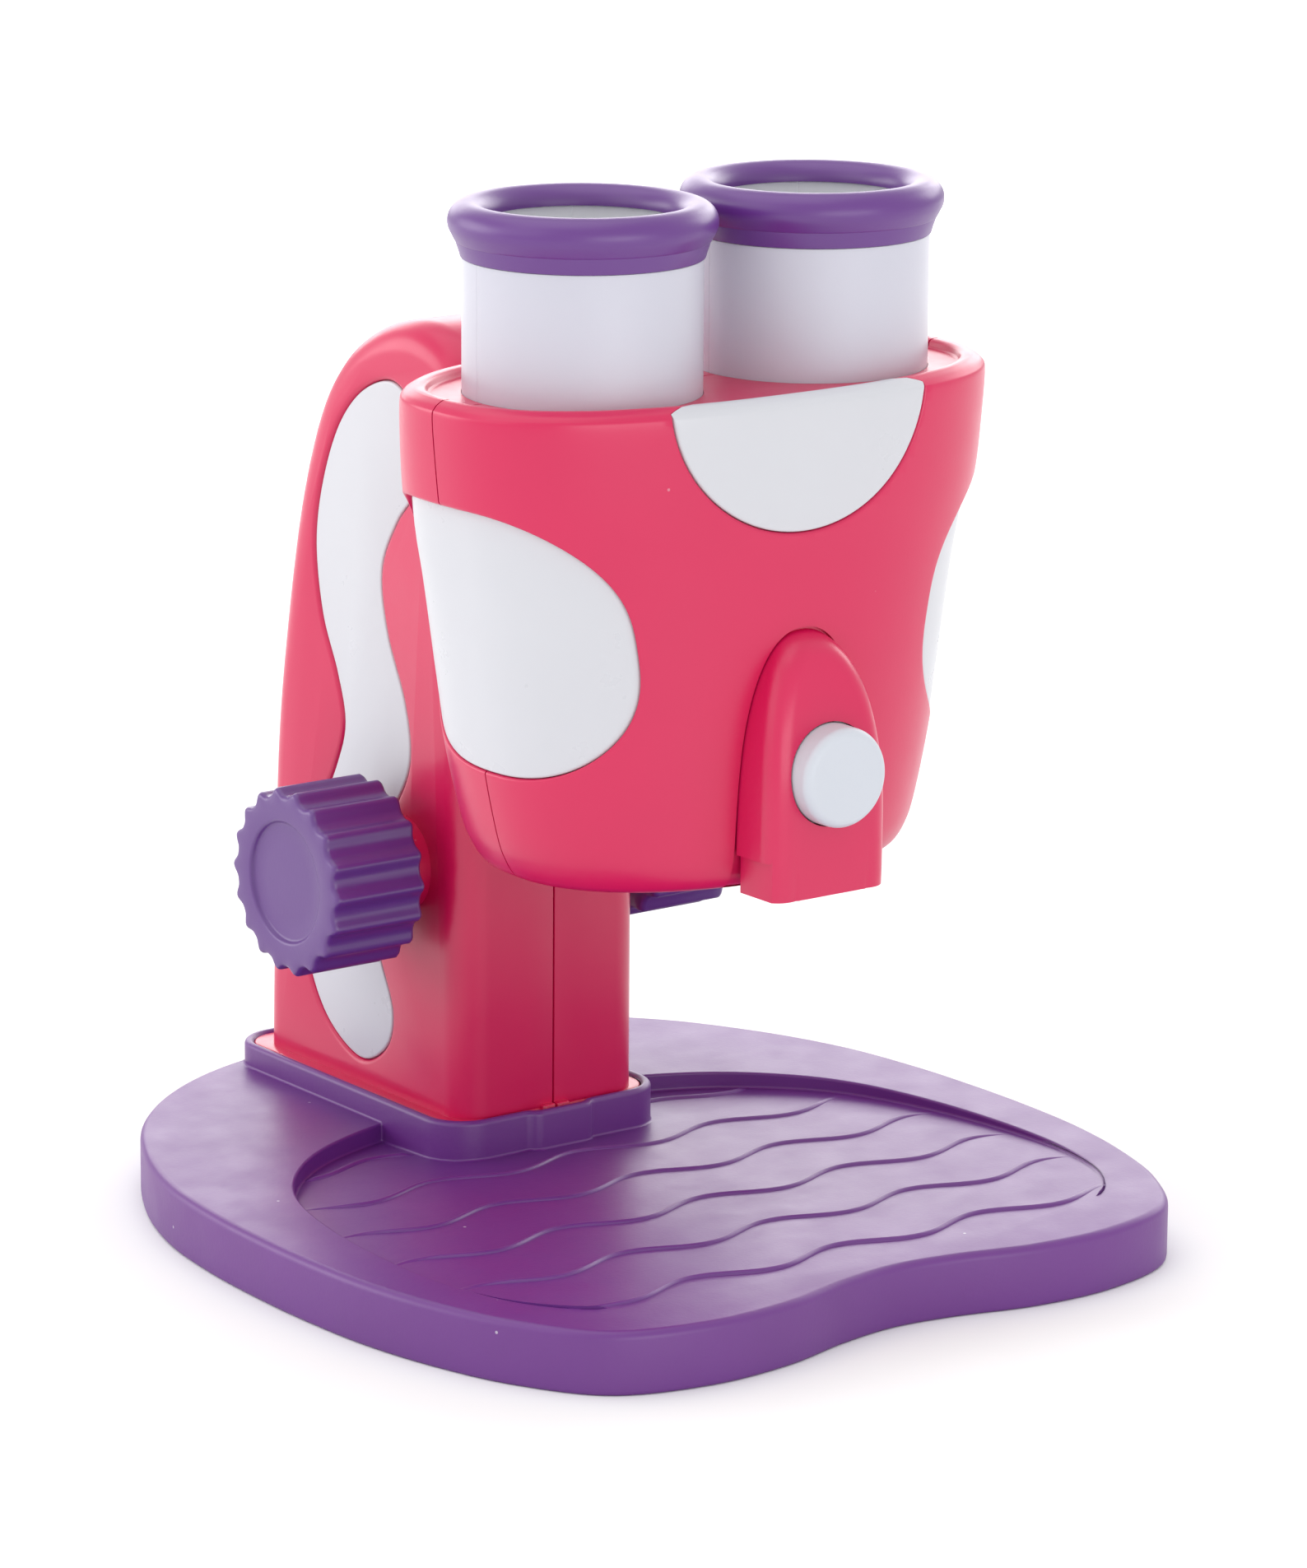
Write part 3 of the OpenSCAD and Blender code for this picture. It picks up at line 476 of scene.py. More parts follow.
def plastic(name, colour, roughness, grain, size=1.0, mottling=0.02, specks=0.0, specular=0.5,
            scatter=0.0, coat=0.0, transmission=0.0, metallic=0.0):
    """A material with the moulded surface; made once and shared."""
    if name in MADE:
        return MADE[name]
    material = MADE[name] = bpy.data.materials.new("finish_" + name)
    material.use_nodes = True
    nodes, links = material.node_tree.nodes, material.node_tree.links
    shader = nodes["Principled BSDF"]
    surface = nodes.new("ShaderNodeGroup")
    surface.node_tree = SURFACE
    for place, value in (("Colour", (*colour, 1)), ("Roughness", roughness), ("Grain Size", size),
                         ("Grain Depth", grain), ("Mottling", mottling), ("Specks", specks)):
        surface.inputs[place].default_value = value
    links.new(surface.outputs["Colour"], shader.inputs["Base Color"])
    links.new(surface.outputs["Roughness"], shader.inputs["Roughness"])
    links.new(surface.outputs["Normal"], shader.inputs["Normal"])
    for place, value in (("Specular IOR Level", specular), ("IOR", 1.5), ("Metallic", metallic),
                         ("Transmission Weight", transmission), ("Coat Weight", coat),
                         ("Coat Roughness", 0.25), ("Subsurface Weight", scatter),
                         ("Subsurface Radius", (1, 0.9, 1)), ("Subsurface Scale", 0.0015)):
        shader.inputs[place].default_value = value
    material.diffuse_color = (*colour, 1)
    return material


FINISHES = {
    "pink": lambda: plastic("raspberry_plastic", (0.63, 0.005, 0.082), 0.31, 0.22, specks=0.25,
                            specular=0.65),
    "base_purple": lambda: plastic("purple_base_plastic", (0.130, 0.017, 0.215), 0.42, 0.5, size=0.8,
                                   mottling=0.04, specks=0.5, specular=0.75),
    "purple": lambda: plastic("knob_plastic", (0.105, 0.026, 0.21), 0.36, 0.35, size=0.9, specks=0.3,
                              specular=0.8),
    "white": lambda: plastic("gloss_white_plastic", (0.62, 0.625, 0.665), 0.30, 0.0, mottling=0.01),
    "button_white": lambda: plastic("button_plastic", (0.60, 0.63, 0.69), 0.42, 0.3, mottling=0.01),
    "frosted": lambda: plastic("frosted_tube_plastic", (0.60, 0.60, 0.68), 0.33, 0.2, mottling=0.01,
                               scatter=0.25),
    # The liner's near-white colour, paler than the tube's plastic, is painted light: it stands in for the
    # light inside the eyepiece well.
    "liner": lambda: plastic("liner_painted_light_plastic", (0.93, 0.94, 0.97), 0.35, 0.15, mottling=0.01),
    "eyecup": lambda: plastic("purple_eyecup_rubber", (0.115, 0.022, 0.22), 0.36, 0.3, size=0.8,
                              specular=0.8),
    "black": lambda: plastic("black_inner_plastic", (0.012, 0.012, 0.014), 0.5, 0.4),
    "natural": lambda: plastic("natural_acetal", (0.74, 0.70, 0.60), 0.34, 0.15),
    "felt": lambda: plastic("felt", (0.02, 0.02, 0.022), 0.95, 1.0, size=0.5, mottling=0.2),
    "steel": lambda: plastic("plated_steel", (0.62, 0.63, 0.65), 0.28, 0.2, metallic=1.0, mottling=0.05),
    "lens": lambda: plastic("lens_glass", (0.95, 0.98, 1.0), 0.02, 0.0, mottling=0.0, transmission=1.0),
    "lamp": lambda: plastic("lamp_resin", (0.96, 0.94, 0.84), 0.12, 0.0, mottling=0.0, transmission=0.8),
    "circuit": lambda: plastic("circuit_board_lacquer", (0.03, 0.16, 0.06), 0.3, 0.3, mottling=0.1,
                               coat=0.5),
    "cell": lambda: plastic("cell_wrap", (0.45, 0.27, 0.06), 0.3, 0.1, coat=0.4),
}


# ---- base ----

def base_curves():
    whole = both_halves(BASE_HALF)
    outline = even_closed(lambda s: round_curve(whole, s), 260)
    middle = (max(p.y for p in outline) + min(p.y for p in outline)) / 2
    outline = [Vector((p.x, p.y - middle)) for p in outline]
    ring = both_halves(STAGE_HALF)
    stage = even_closed(lambda s: round_curve(ring, s), 200)
    return outline, stage


BASE_EDGE, STAGE_EDGE = base_curves()


def stage_floor(y):
    return BASE_TOP - STAGE_DEPTH * max(0.0, min(1.0, (y + 82) / 126.5))


def inside(x, y, outline):
    hits, n = False, len(outline)
    for i in range(n):
        a, b = outline[i], outline[i - 1]
        if (a.y > y) != (b.y > y) and x < (b.x - a.x) * (y - a.y) / (b.y - a.y) + a.x:
            hits = not hits
    return hits


def make_base():
    rim = [(3.2, 6.0), (2.8, 0.3), (2.6, 0.0), (0.9, 0.0), (0.4, 0.15), (0.1, 0.5), (0, 1.0), (0, 11.1)]
    rim += rounded(0, 11.1, 1.7, 6)
    base = body_of_mesh(stacked(BASE_EDGE, rim))
    low = [(p.x, p.y, stage_floor(p.y)) for p in STAGE_EDGE]
    shape(base, join_rings([low, upright(STAGE_EDGE, 20)]))
    collar = round_box(-28, 17.1, 28, 101.1, 9.5, lobe=(7, 1.5))
    steps = [(0, 7.0), (0, 17.0)] + rounded(0, 17.0, 1.0, 4)
    steps += [(1.3, 18.0), (1.9, 17.7), (2.05, 17.2), (2.05, 15.0)]
    shape(base, stacked(collar, steps), "UNION")
    holes = [rod((x, y, -1), (x, y, 8.01), 3.4, 48) for x in (-17, 17) for y in (28, 88)]
    shape(base, together(*holes))
    finished(base, "base_shell", "stand", "base_purple", "base", edge=0.55, segments=3, sharp=38)
    ribs = []
    for x in (-60, -30, 30, 60):
        reach = [p.y for p in BASE_EDGE if abs(p.x - x) < 3]
        ribs.append(block((x - 0.9, min(reach) + 3.4, 0.6), (x + 0.9, max(reach) - 3.4, 6.2)))
    for y in (-70, -35, 0, 50):
        reach = [p.x for p in BASE_EDGE if abs(p.y - y) < 3]
        ribs.append(block((min(reach) + 3.2, y - 0.9, 0.6), (max(reach) - 3.2, y + 0.9, 6.2)))
    finished(together(*ribs), "base_ribs", "stand", "base_purple", edge=0.25, segments=2)


def ridge_runs(row):
    """Where a wavy row crosses the stage, as runs of places half a millimetre apart."""
    runs = [[]]
    for x in [k * 0.5 for k in range(-164, 165)]:
        if not inside(x, row(x), STAGE_EDGE) or (abs(x) < 28.5 and row(x) > 14):
            continue
        if runs[-1] and x - runs[-1][-1] > 0.6:
            runs.append([])
        runs[-1].append(x)
    return [run for run in runs if len(run) >= 6]


def ridge_strip(row, run):
    """One rounded ridge along a run, faded at both ends and sunk a little into the stage."""
    half_width, height, sunk = 0.85, 0.62, 0.05
    bm = bmesh.new()
    bmesh.ops.create_grid(bm, x_segments=len(run) - 1, y_segments=8, size=1)
    for v in bm.verts:
        share = (v.co.x + 1) / 2
        x = run[0] + (run[-1] - run[0]) * share
        y = row(x)
        slope = (row(x + 0.1) - row(x - 0.1)) / 0.2
        across = v.co.y * half_width
        away = Vector((-slope, 1)).normalized() * across
        fade = min(1.0, 12 * share + 0.1, 12 * (1 - share) + 0.1)
        lift = height * max(0.0, math.cos(across / half_width * math.pi / 2)) ** 0.7 * fade - sunk
        px, py = x + away.x, y + away.y
        v.co = Vector((px, py, stage_floor(py) + lift)) * MM
    under = bmesh.ops.extrude_face_region(bm, geom=bm.faces)
    bmesh.ops.translate(bm, vec=(0, 0, -0.5 * MM),
                        verts=[g for g in under["geom"] if isinstance(g, bmesh.types.BMVert)])
    bmesh.ops.recalc_face_normals(bm, faces=bm.faces)
    return bm


def make_ridges():
    strips = []
    for k in range(1, 7):
        def row(x, k=k):
            return k * 21.8 - 19.2 - 82 + 2.6 * math.sin(math.tau * (x - 25) / 35.7)

        strips += [ridge_strip(row, run) for run in ridge_runs(row)]
    finished(together(*strips), "stage_ridges", "stand", "base_purple", sharp=50)


# ---- arm ----

def arm_outline():
    back = [Vector(p) for p in open_curve(ARM_BACK, 6)]
    front = [Vector((ARM_FRONT, 164 - 4 * k)) for k in range(1, 38)]
    foot = [Vector((ARM_FRONT, -14)), Vector((58, -14)), Vector((95.9, -14))]
    return foot + [p for p in back if p.y > 8] + front


ARM_EDGE = arm_outline()
INLAY_EDGE = even_closed(lambda s: round_curve(INLAY, s), 220)
if sum(a.x * b.y - b.x * a.y for a, b in zip(INLAY_EDGE, INLAY_EDGE[1:])) < 0:
    INLAY_EDGE.reverse()


def arm_steps(start, wall):
    """The arm's half width, with its long edges rounded."""
    r = ARM_ROUND - wall
    steps = [(wall, start), (wall, 8), (wall, ARM_W - ARM_ROUND)]
    if not wall and start < 1:
        steps = [(0.22, start), (0.06, start + 0.08), (0, start + 0.25)] + steps[1:]
    return steps + rounded(wall, ARM_W - ARM_ROUND, r, 10)


def arm_side(side):
    arm = body_of_mesh(sideways(ARM_EDGE, arm_steps(SEAM, 0)))
    shape(arm, sideways(ARM_EDGE, arm_steps(-3, 2.4)))
    cuts = [block((-1, 15, 99.4), (6.4, 24, 156.6)), block((-1, 87, 26), (13.5, 110, 81)),
            block((-1, 10, -25), (40, 110, 13.4)),
            sideways(INLAY_EDGE, [(-0.12, ARM_W - 1.7), (-0.12, ARM_W - 1.1), (-0.2, ARM_W - 0.75),
                                  (-0.42, ARM_W - 0.4), (-0.78, ARM_W - 0.14), (-1.3, ARM_W + 0.01),
                                  (-1.4, ARM_W + 2)])]
    for cut in cuts:
        shape(arm, cut)
    boss = turned([(0, 20), (10, 20), (10, 29.2), (9.4, 29.8), (0, 29.8)], (0, *AXLE), (1, 0, 0), 96)
    shape(arm, boss, "UNION")
    shape(arm, rod((10, *AXLE), (40, *AXLE), 4.6))
    foot = body_of_mesh(stacked(round_box(-25.8, 19.35, 25.8, 99.3, 7.3),
                                [(0, 12.9), (0, 16.9), (0.1, 17.2), (0.3, 17.4), (0.6, 17.5)]))
    shape(foot, block((-60, 0, 0), (SEAM, 120, 40)))
    tab = body_of_mesh(stacked(round_box(SEAM, 18.3, 3.4, 22.5, 0.8, 4),
                               [(0, 15), (0, 17.9), (0.15, 18.1), (0.5, 18.2)]))
    for extra in (foot, tab):
        shape(arm, extra, "UNION")
    if side < 0:
        arm = mirrored_in_place(arm)
    return arm


def mirrored_in_place(obj):
    twin = mirrored(obj)
    bpy.data.objects.remove(obj)
    return twin


def inlay_piece(side):
    steps = [(0.05, ARM_W - 1.7), (0.05, ARM_W - 0.75), (0.12, ARM_W - 0.52), (0.3, ARM_W - 0.36),
             (0.6, ARM_W - 0.3)]
    piece = body_of_mesh(sideways(INLAY_EDGE, steps))
    if side < 0:
        piece = mirrored_in_place(piece)
    return piece


def make_arm():
    right = arm_side(1)
    left = mirrored(right)
    finished(right, "arm_half_right", "stand", "pink", "arm_right", sharp=40)
    finished(left, "arm_half_left", "stand", "pink", "arm_left", sharp=40)
    finished(inlay_piece(-1), "inlay_left", "stand", "white", "arm_inlay_left", sharp=40)
    finished(inlay_piece(1), "inlay_right", "stand", "white", "arm_inlay_right", sharp=40)
    steps = arm_steps(8, 0)
    mirror_steps = [(d, -x) for d, x in reversed(steps)]
    door = body_of_mesh(sideways(ARM_EDGE, mirror_steps + steps))
    shape(door, block((-13.2, 90.4, 26.3), (13.2, 110, 80.7)), "INTERSECT")
    shape(door, rod((0, 80, 77.5), (0, 110, 77.5), 1.4, 32))
    shape(door, rod((0, 91.9, 77.5), (0, 110, 77.5), 2.6, 48))
    grips = [(96.1 - 0.35 * k, 33 + 2.6 * k) for k in range(3)]
    shape(door, together(*[rod((-5.5, *at), (5.5, *at), 0.9, 20) for at in grips]))
    finished(door, "battery_cover", "battery_cover", "pink", "battery_door", edge=0.35, segments=2, sharp=40)


# ---- knobs ----

def knob_ring(x, r, flute):
    """A ring of the knob with a share of the full depth of its flutes."""
    ring = []
    for k in range(FLUTES * 12):
        w = math.tau * k / (FLUTES * 12)
        reach = r - flute * 1.5 * (1 - (0.5 + 0.5 * math.cos(FLUTES * w)) ** 1.7)
        ring.append((x, AXLE[0] + reach * math.cos(w), AXLE[1] + reach * math.sin(w)))
    return ring


def make_knobs():
    path = [(30.6, 6.5, 0), (30.6, 15.5, 0), (30.6, 18.4, 0.8), (30.9, 19.1, 0.95), (31.6, 19.6, 1)]
    path += [(32 + 19.4 * k / 10, 19.6, 1) for k in range(11)]
    path += [(51.9, 19.5, 1), (52.3, 19.2, 1), (52.5, 18.8, 0.98), (52.6, 18.3, 0.9), (52.6, 16.0, 0.2)]
    path += [(x, r, 0) for x, r in ((52.6, 13.3), (52.5, 12.9), (52.25, 12.6), (51.9, 12.45), (51.7, 12.2),
                                    (51.6, 11.8), (51.6, 8), (51.65, 4))]
    knob = body_of_mesh(join_rings([knob_ring(*step) for step in path]))
    left = mirrored(knob)
    finished(knob, "knob_right", "knobs", "purple", "focus_knob_right", sharp=55)
    finished(left, "knob_left", "knobs", "purple", "focus_knob_left", sharp=55)


# ---- head ----

HEAD_LEVELS = open_curve(HEAD, 6)


def head_ring(level, cut, count=168, z=None):
    """The head's outline at a level, moved in by a cut."""
    ring = []
    for k in range(count):
        w = math.tau * (k + 0.5) / count
        front = math.sin(w) < 0
        depth = (level[2] if front else level[3]) - cut
        power = 2 / (level[4] if front else level[5])
        ring.append(((level[1] - cut) * signed_power(math.cos(w), power),
                     HEAD_Y + depth * signed_power(math.sin(w), power), level[0] if z is None else z))
    return ring


def head_at(z):
    """The head's level at a height."""
    for a, b in zip(HEAD_LEVELS, HEAD_LEVELS[1:]):
        if a[0] <= z <= b[0]:
            t = (z - a[0]) / (b[0] - a[0])
            return [p + (q - p) * t for p, q in zip(a, b)]
    return HEAD_LEVELS[0] if z < HEAD_LEVELS[0][0] else HEAD_LEVELS[-1]


def panel_level(level):
    """A level of the side panels' skin, a little inside the head's."""
    back = 0.25 + 2 * max(0.0, min(1.0, (level[0] - 106) / 54))
    return [level[0], level[1] - back, level[2] - 0.25, level[3] - 0.25, level[4], level[5]]


def head_solid(cut=0.0, low=0.0, high=300.0, adjust=None):
    rings = [head_ring(adjust(l) if adjust else l, cut) for l in HEAD_LEVELS if low <= l[0] <= high]
    return join_rings(rings)


def egg(cy, cz, front, rear, half, n, n_rear):
    """An egg-shaped outline, squarer at the top of its rear."""
    points, count = [], 160
    for k in range(count):
        w = math.tau * (k + 0.5) / count
        e = 2 / (n_rear if math.cos(w) > 0 and math.sin(w) > 0 else n)
        points.append(Vector((cy + (front if math.cos(w) < 0 else rear) * signed_power(math.cos(w), e),
                              cz + half * signed_power(math.sin(w), e))))
    return points


PANEL_EDGE = egg(HEAD_Y - 3.5, PANEL_Z, 25.3, 31, 27, 2.8, 4.5)


def side_x(level, y, drop):
    """How far out the head's side is at a given depth, a drop below its skin."""
    front = y < HEAD_Y
    depth = (level[2] if front else level[3]) - drop
    power = level[4] if front else level[5]
    return (level[1] - drop) * max(0.0, 1 - min(1.0, abs(y - HEAD_Y) / depth) ** power) ** (1 / power)


def front_y(level, x, drop):
    """Where the head's front is at a given place across, a drop below its skin."""
    reach = max(0.0, 1 - min(1.0, abs(x) / (level[1] - drop)) ** level[4])
    return HEAD_Y - (level[2] - drop) * reach ** (1 / level[4])


def panel_ring(side, inset, drop, shrink=1.0, skin=False):
    centre = Vector((HEAD_Y - 1, PANEL_Z))
    ring = []
    for q in moved_in(PANEL_EDGE, inset):
        q = centre + (q - centre) * shrink
        level = head_at(q.y)
        ring.append((side * side_x(level if skin else panel_level(level), q.x, drop), q.x, q.y))
    return ring


def side_panel_piece(side):
    r = 0.55
    inner = [k / 16 for k in range(1, 16)]
    rings = [panel_ring(side, PANEL_GAP + r, PANEL_THICK, k) for k in inner]
    rings += [panel_ring(side, PANEL_GAP, PANEL_THICK), panel_ring(side, PANEL_GAP, r)]
    rings += [panel_ring(side, PANEL_GAP + r * (1 - math.cos(w)), r * (1 - math.sin(w)))
              for w in [math.radians(15 * k) for k in range(1, 7)]]
    rings += [panel_ring(side, PANEL_GAP + r, 0, k) for k in reversed(inner)]
    return join_rings(rings, low="point", high="point")


def side_panel_seat(side):
    """What the head gives up for a side panel, with a soft lip."""
    inner = [k / 10 for k in range(1, 10)]
    rings = [panel_ring(side, 0.2, 1.65, k) for k in inner] + [panel_ring(side, 0, 1.65)]
    lip = [(0, 0.75), (-0.07, 0.45), (-0.24, 0.19), (-0.52, 0.03), (-0.9, -0.05), (-1.0, -4)]
    rings += [panel_ring(side, d, drop, skin=True) for d, drop in lip]
    rings += [[(side * 75, q[1], q[2]) for q in rings[-1]]]
    return join_rings(rings, low="point")


def moon_outline(grow):
    rx, rz = 31 + grow, 28.6 + grow
    arc = [Vector((rx * math.cos(w), 182 + rz * math.sin(w))) for w in
           [math.radians(180 + 180 * k / 70) for k in range(71)]]
    return arc + [Vector((rx, 190)), Vector((-rx, 190))]


def moon_block(grow, edge):
    """The half-moon from the front, with its edge at the skin, ended by its curved edge on the top plate."""
    def ring(extra, drop):
        return [(p.x, front_y(head_at(min(p.y, RIM_Z)), p.x, drop), p.y) for p in moon_outline(grow + extra)]

    inmost = [(p.x, -40, p.y) for p in moon_outline(grow)]
    solid = body_of_mesh(join_rings([inmost] + [ring(*step) for step in edge]))
    rear = [Vector((x, -55.2 + grow - 5.2 * (x / 32) ** 2)) for x in range(36, -37, -2)]
    shape(solid, stacked([Vector((-36, -80)), Vector((36, -80))] + rear, [(0, 100), (0, 220)]), "INTERSECT")
    return solid


def pod_outline(grow, foot=POD_FOOT):
    """The light housing from the front: an arch on two straight legs."""
    w, power = POD_W + grow, 2 / 2.3
    arch = [Vector((w * signed_power(math.cos(a), power),
                    97 + (37.2 + grow) * signed_power(math.sin(a), power)))
            for a in [math.pi * k / 60 for k in range(61)]]
    leg = [Vector((-w, z)) for z in (92.2, 86, 79, 72) if z > foot] + [Vector((-w, foot))]
    other = [Vector((-p.x, p.y)) for p in reversed(leg)]
    return arch + leg + [Vector((0, foot))] + other


def pod_front(z):
    """Where the light housing's front is at a height."""
    steps = [(82.8, -72.4), (85, -72.7), (104, -72.7), (112, -71.9), (118, -71.1), (124.5, -69.6),
             (130, -67.5), (134.3, -64.6), (136, -63.4)]
    smooth = open_curve(steps, 6)
    for a, b in zip(smooth, smooth[1:]):
        if a[0] <= z <= b[0]:
            return a[1] + (b[1] - a[1]) * (z - a[0]) / (b[0] - a[0])
    return smooth[0][1] if z < 82.8 else smooth[-1][1]


# Steps of (inset, height) from the top plate up over the head's rim
RECESS = [(5.2, TOP_PLATE), (4.75, TOP_PLATE + 0.1), (4.5, TOP_PLATE + 0.4), (4.3, 179.7), (4.0, 180.05),
          (3.5, 180.24), (2.9, 180.34), (2.8, 184)]


def make_head():
    skin = body_of_mesh(head_solid())
    inner = [head_ring(head_at(85.0), 4.2, 96, 85.0)]
    inner += [head_ring(head_at(z), 2.2, 96, z)
              for z in (88, 92, 98, 104, 112, 120, 130, 140, 148, 154, 160, 168, RIM_Z)]
    shape(skin, join_rings(inner))
    rim = [63, 62.9, 35.5, 35.5, 2.45, 2.5]
    recess = [head_ring(rim, cut, 168, z) for cut, z in RECESS]
    shape(skin, join_rings(recess))
    holes = [rod((x, HEAD_Y, 170), (x, HEAD_Y, 190), TUBE_R + 0.12, 128) for x in (-EYE_X, EYE_X)]
    holes += [rod((x, HEAD_Y, 78), (x, HEAD_Y, 88), 11.5, 96) for x in (-OBJECTIVE_X, OBJECTIVE_X)]
    shape(skin, together(*holes))

    # side panels: a seat with a wall behind it
    backing = body_of_mesh(head_solid(1.8, 96, 168, panel_level))
    shape(backing, head_solid(3.3, 98, 166, panel_level))
    for side, name in ((-1, "left"), (1, "right")):
        patch = sideways(moved_in(PANEL_EDGE, -1.6), [(0, side * 20), (0, side * 70)])
        wall = shape(copy_of(backing), patch, "INTERSECT")
        shape(skin, wall, "UNION")
        shape(skin, side_panel_seat(side))
        finished(side_panel_piece(side), "panel_" + name, "head", "white", "side_panel_" + name, sharp=60)
    bpy.data.objects.remove(backing)

    # half-moon panel, over the rim and onto the top plate
    under = [head_ring(l, 1.65) for l in HEAD_LEVELS if 140 < l[0] < 175]
    under += [head_ring([0, 63.5, 36, 36, 2.45, 2.5], 2.05, 168, TOP_PLATE - 1.65)]
    under = body_of_mesh(join_rings(under))
    lip = [(0, 0.75), (0.07, 0.45), (0.24, 0.19), (0.52, 0.03), (0.9, -0.05), (0.95, -9)]
    seat = moon_block(0.0, lip)
    shape(seat, under, keep=True)
    shape(skin, seat)
    soft_edge = [(0, 0.6), (-0.05, 0.35), (-0.17, 0.15), (-0.36, 0.04), (-0.62, -0.04), (-0.66, -9)]
    moon = moon_block(-PANEL_GAP, soft_edge)
    shape(moon, head_solid(0.0, 140, 181), "INTERSECT")
    shape(moon, under)
    shape(moon, join_rings([head_ring(rim, cut, 168, z + 0.04) for cut, z in RECESS]))
    finished(moon, "half_moon", "head", "white", "half_moon_panel", sharp=45)

    # groove round the light housing
    groove = body_of_mesh(frontways(pod_outline(0.35), [(0, -80), (0, -50)]))
    shape(groove, head_solid(0.9))
    shape(skin, groove)

    # shells
    shape(skin, block((-8, -70, 92), (8, -55, 114.5)))
    rear = copy_of(skin)
    shape(skin, block((-80, HEAD_Y - SEAM, 60), (80, 40, 200)))
    shape(rear, block((-80, -90, 60), (80, HEAD_Y + SEAM, 200)))
    pad = block((-11, 5.5, 103), (11, 9.5, 153))
    shape(rear, pad, "UNION")
    wells = [rod((x, -18.7, z), (x, 20, z), 3.0, 48) for x, z in ((-40, 98), (40, 98), (0, 163))]
    shape(rear, together(*wells))
    finished(skin, "head_front", "head", "pink", "head_front_shell", sharp=40)
    finished(rear, "head_rear", "head", "pink", "head_rear_shell", sharp=40)


# ---- light housing and button ----

def make_light():
    outline = pod_outline(0.0, foot=60)
    middle = Vector((0, 104))
    rings = [[(p.x, -61.0, p.y) for p in outline],
             [(p.x, min(-61.2, pod_front(p.y) + POD_ROUND), p.y) for p in outline]]
    for k in range(1, 10):
        w = math.radians(10 * k)
        rings.append([(p.x, min(POD_BACK, pod_front(p.y) + POD_ROUND * (1 - math.sin(w))), p.y)
                      for p in moved_in(outline, POD_ROUND * (1 - math.cos(w)))])
    last = moved_in(outline, POD_ROUND)
    for k in range(1, 14):
        inner = [middle + (p - middle) * (1 - k / 14) for p in last]
        rings.append([(p.x, min(POD_BACK, pod_front(p.y)), p.y) for p in inner])
    pod = body_of_mesh(join_rings(rings, high="point"))
    shape(pod, block((-30, -80, 50), (30, -50, POD_FOOT)))
    for low, high in ((-20, -13.6), (13.6, 20)):
        shape(pod, block((low, -80, 80), (high, -50, 90.6)))
    shape(pod, rod((0, -55, BUTTON_Z), (0, -90, BUTTON_Z), 10.3, 96))
    shape(pod, rod((0, -67.75, 80), (0, -67.75, 86), 2.55, 48))
    finished(pod, "light_housing", "head", "pink", "light_pod", sharp=45)

    profile = [(0, 67.5), (2.4, 67.5), (2.4, 75.3), (8.2, 75.3), (8.2, 68.2), (11.2, 68.2), (11.2, 69.3),
               (10, 69.4), (9.95, 75.2)]
    profile += [(8.05 + 1.9 * math.cos(w), 75.4 + 1.9 * math.sin(w))
                for w in [math.radians(10 * k) for k in range(10)]]
    profile += [(6, 77.29), (3, 77.24), (0, 77.22)]
    cap = turned([(r, -h) for r, h in profile], (0, 0, BUTTON_Z), (0, 1, 0), 128, closed=False)
    finished(cap, "button_cap", "button", "button_white", "light_button", sharp=45)


# ---- eyepieces ----

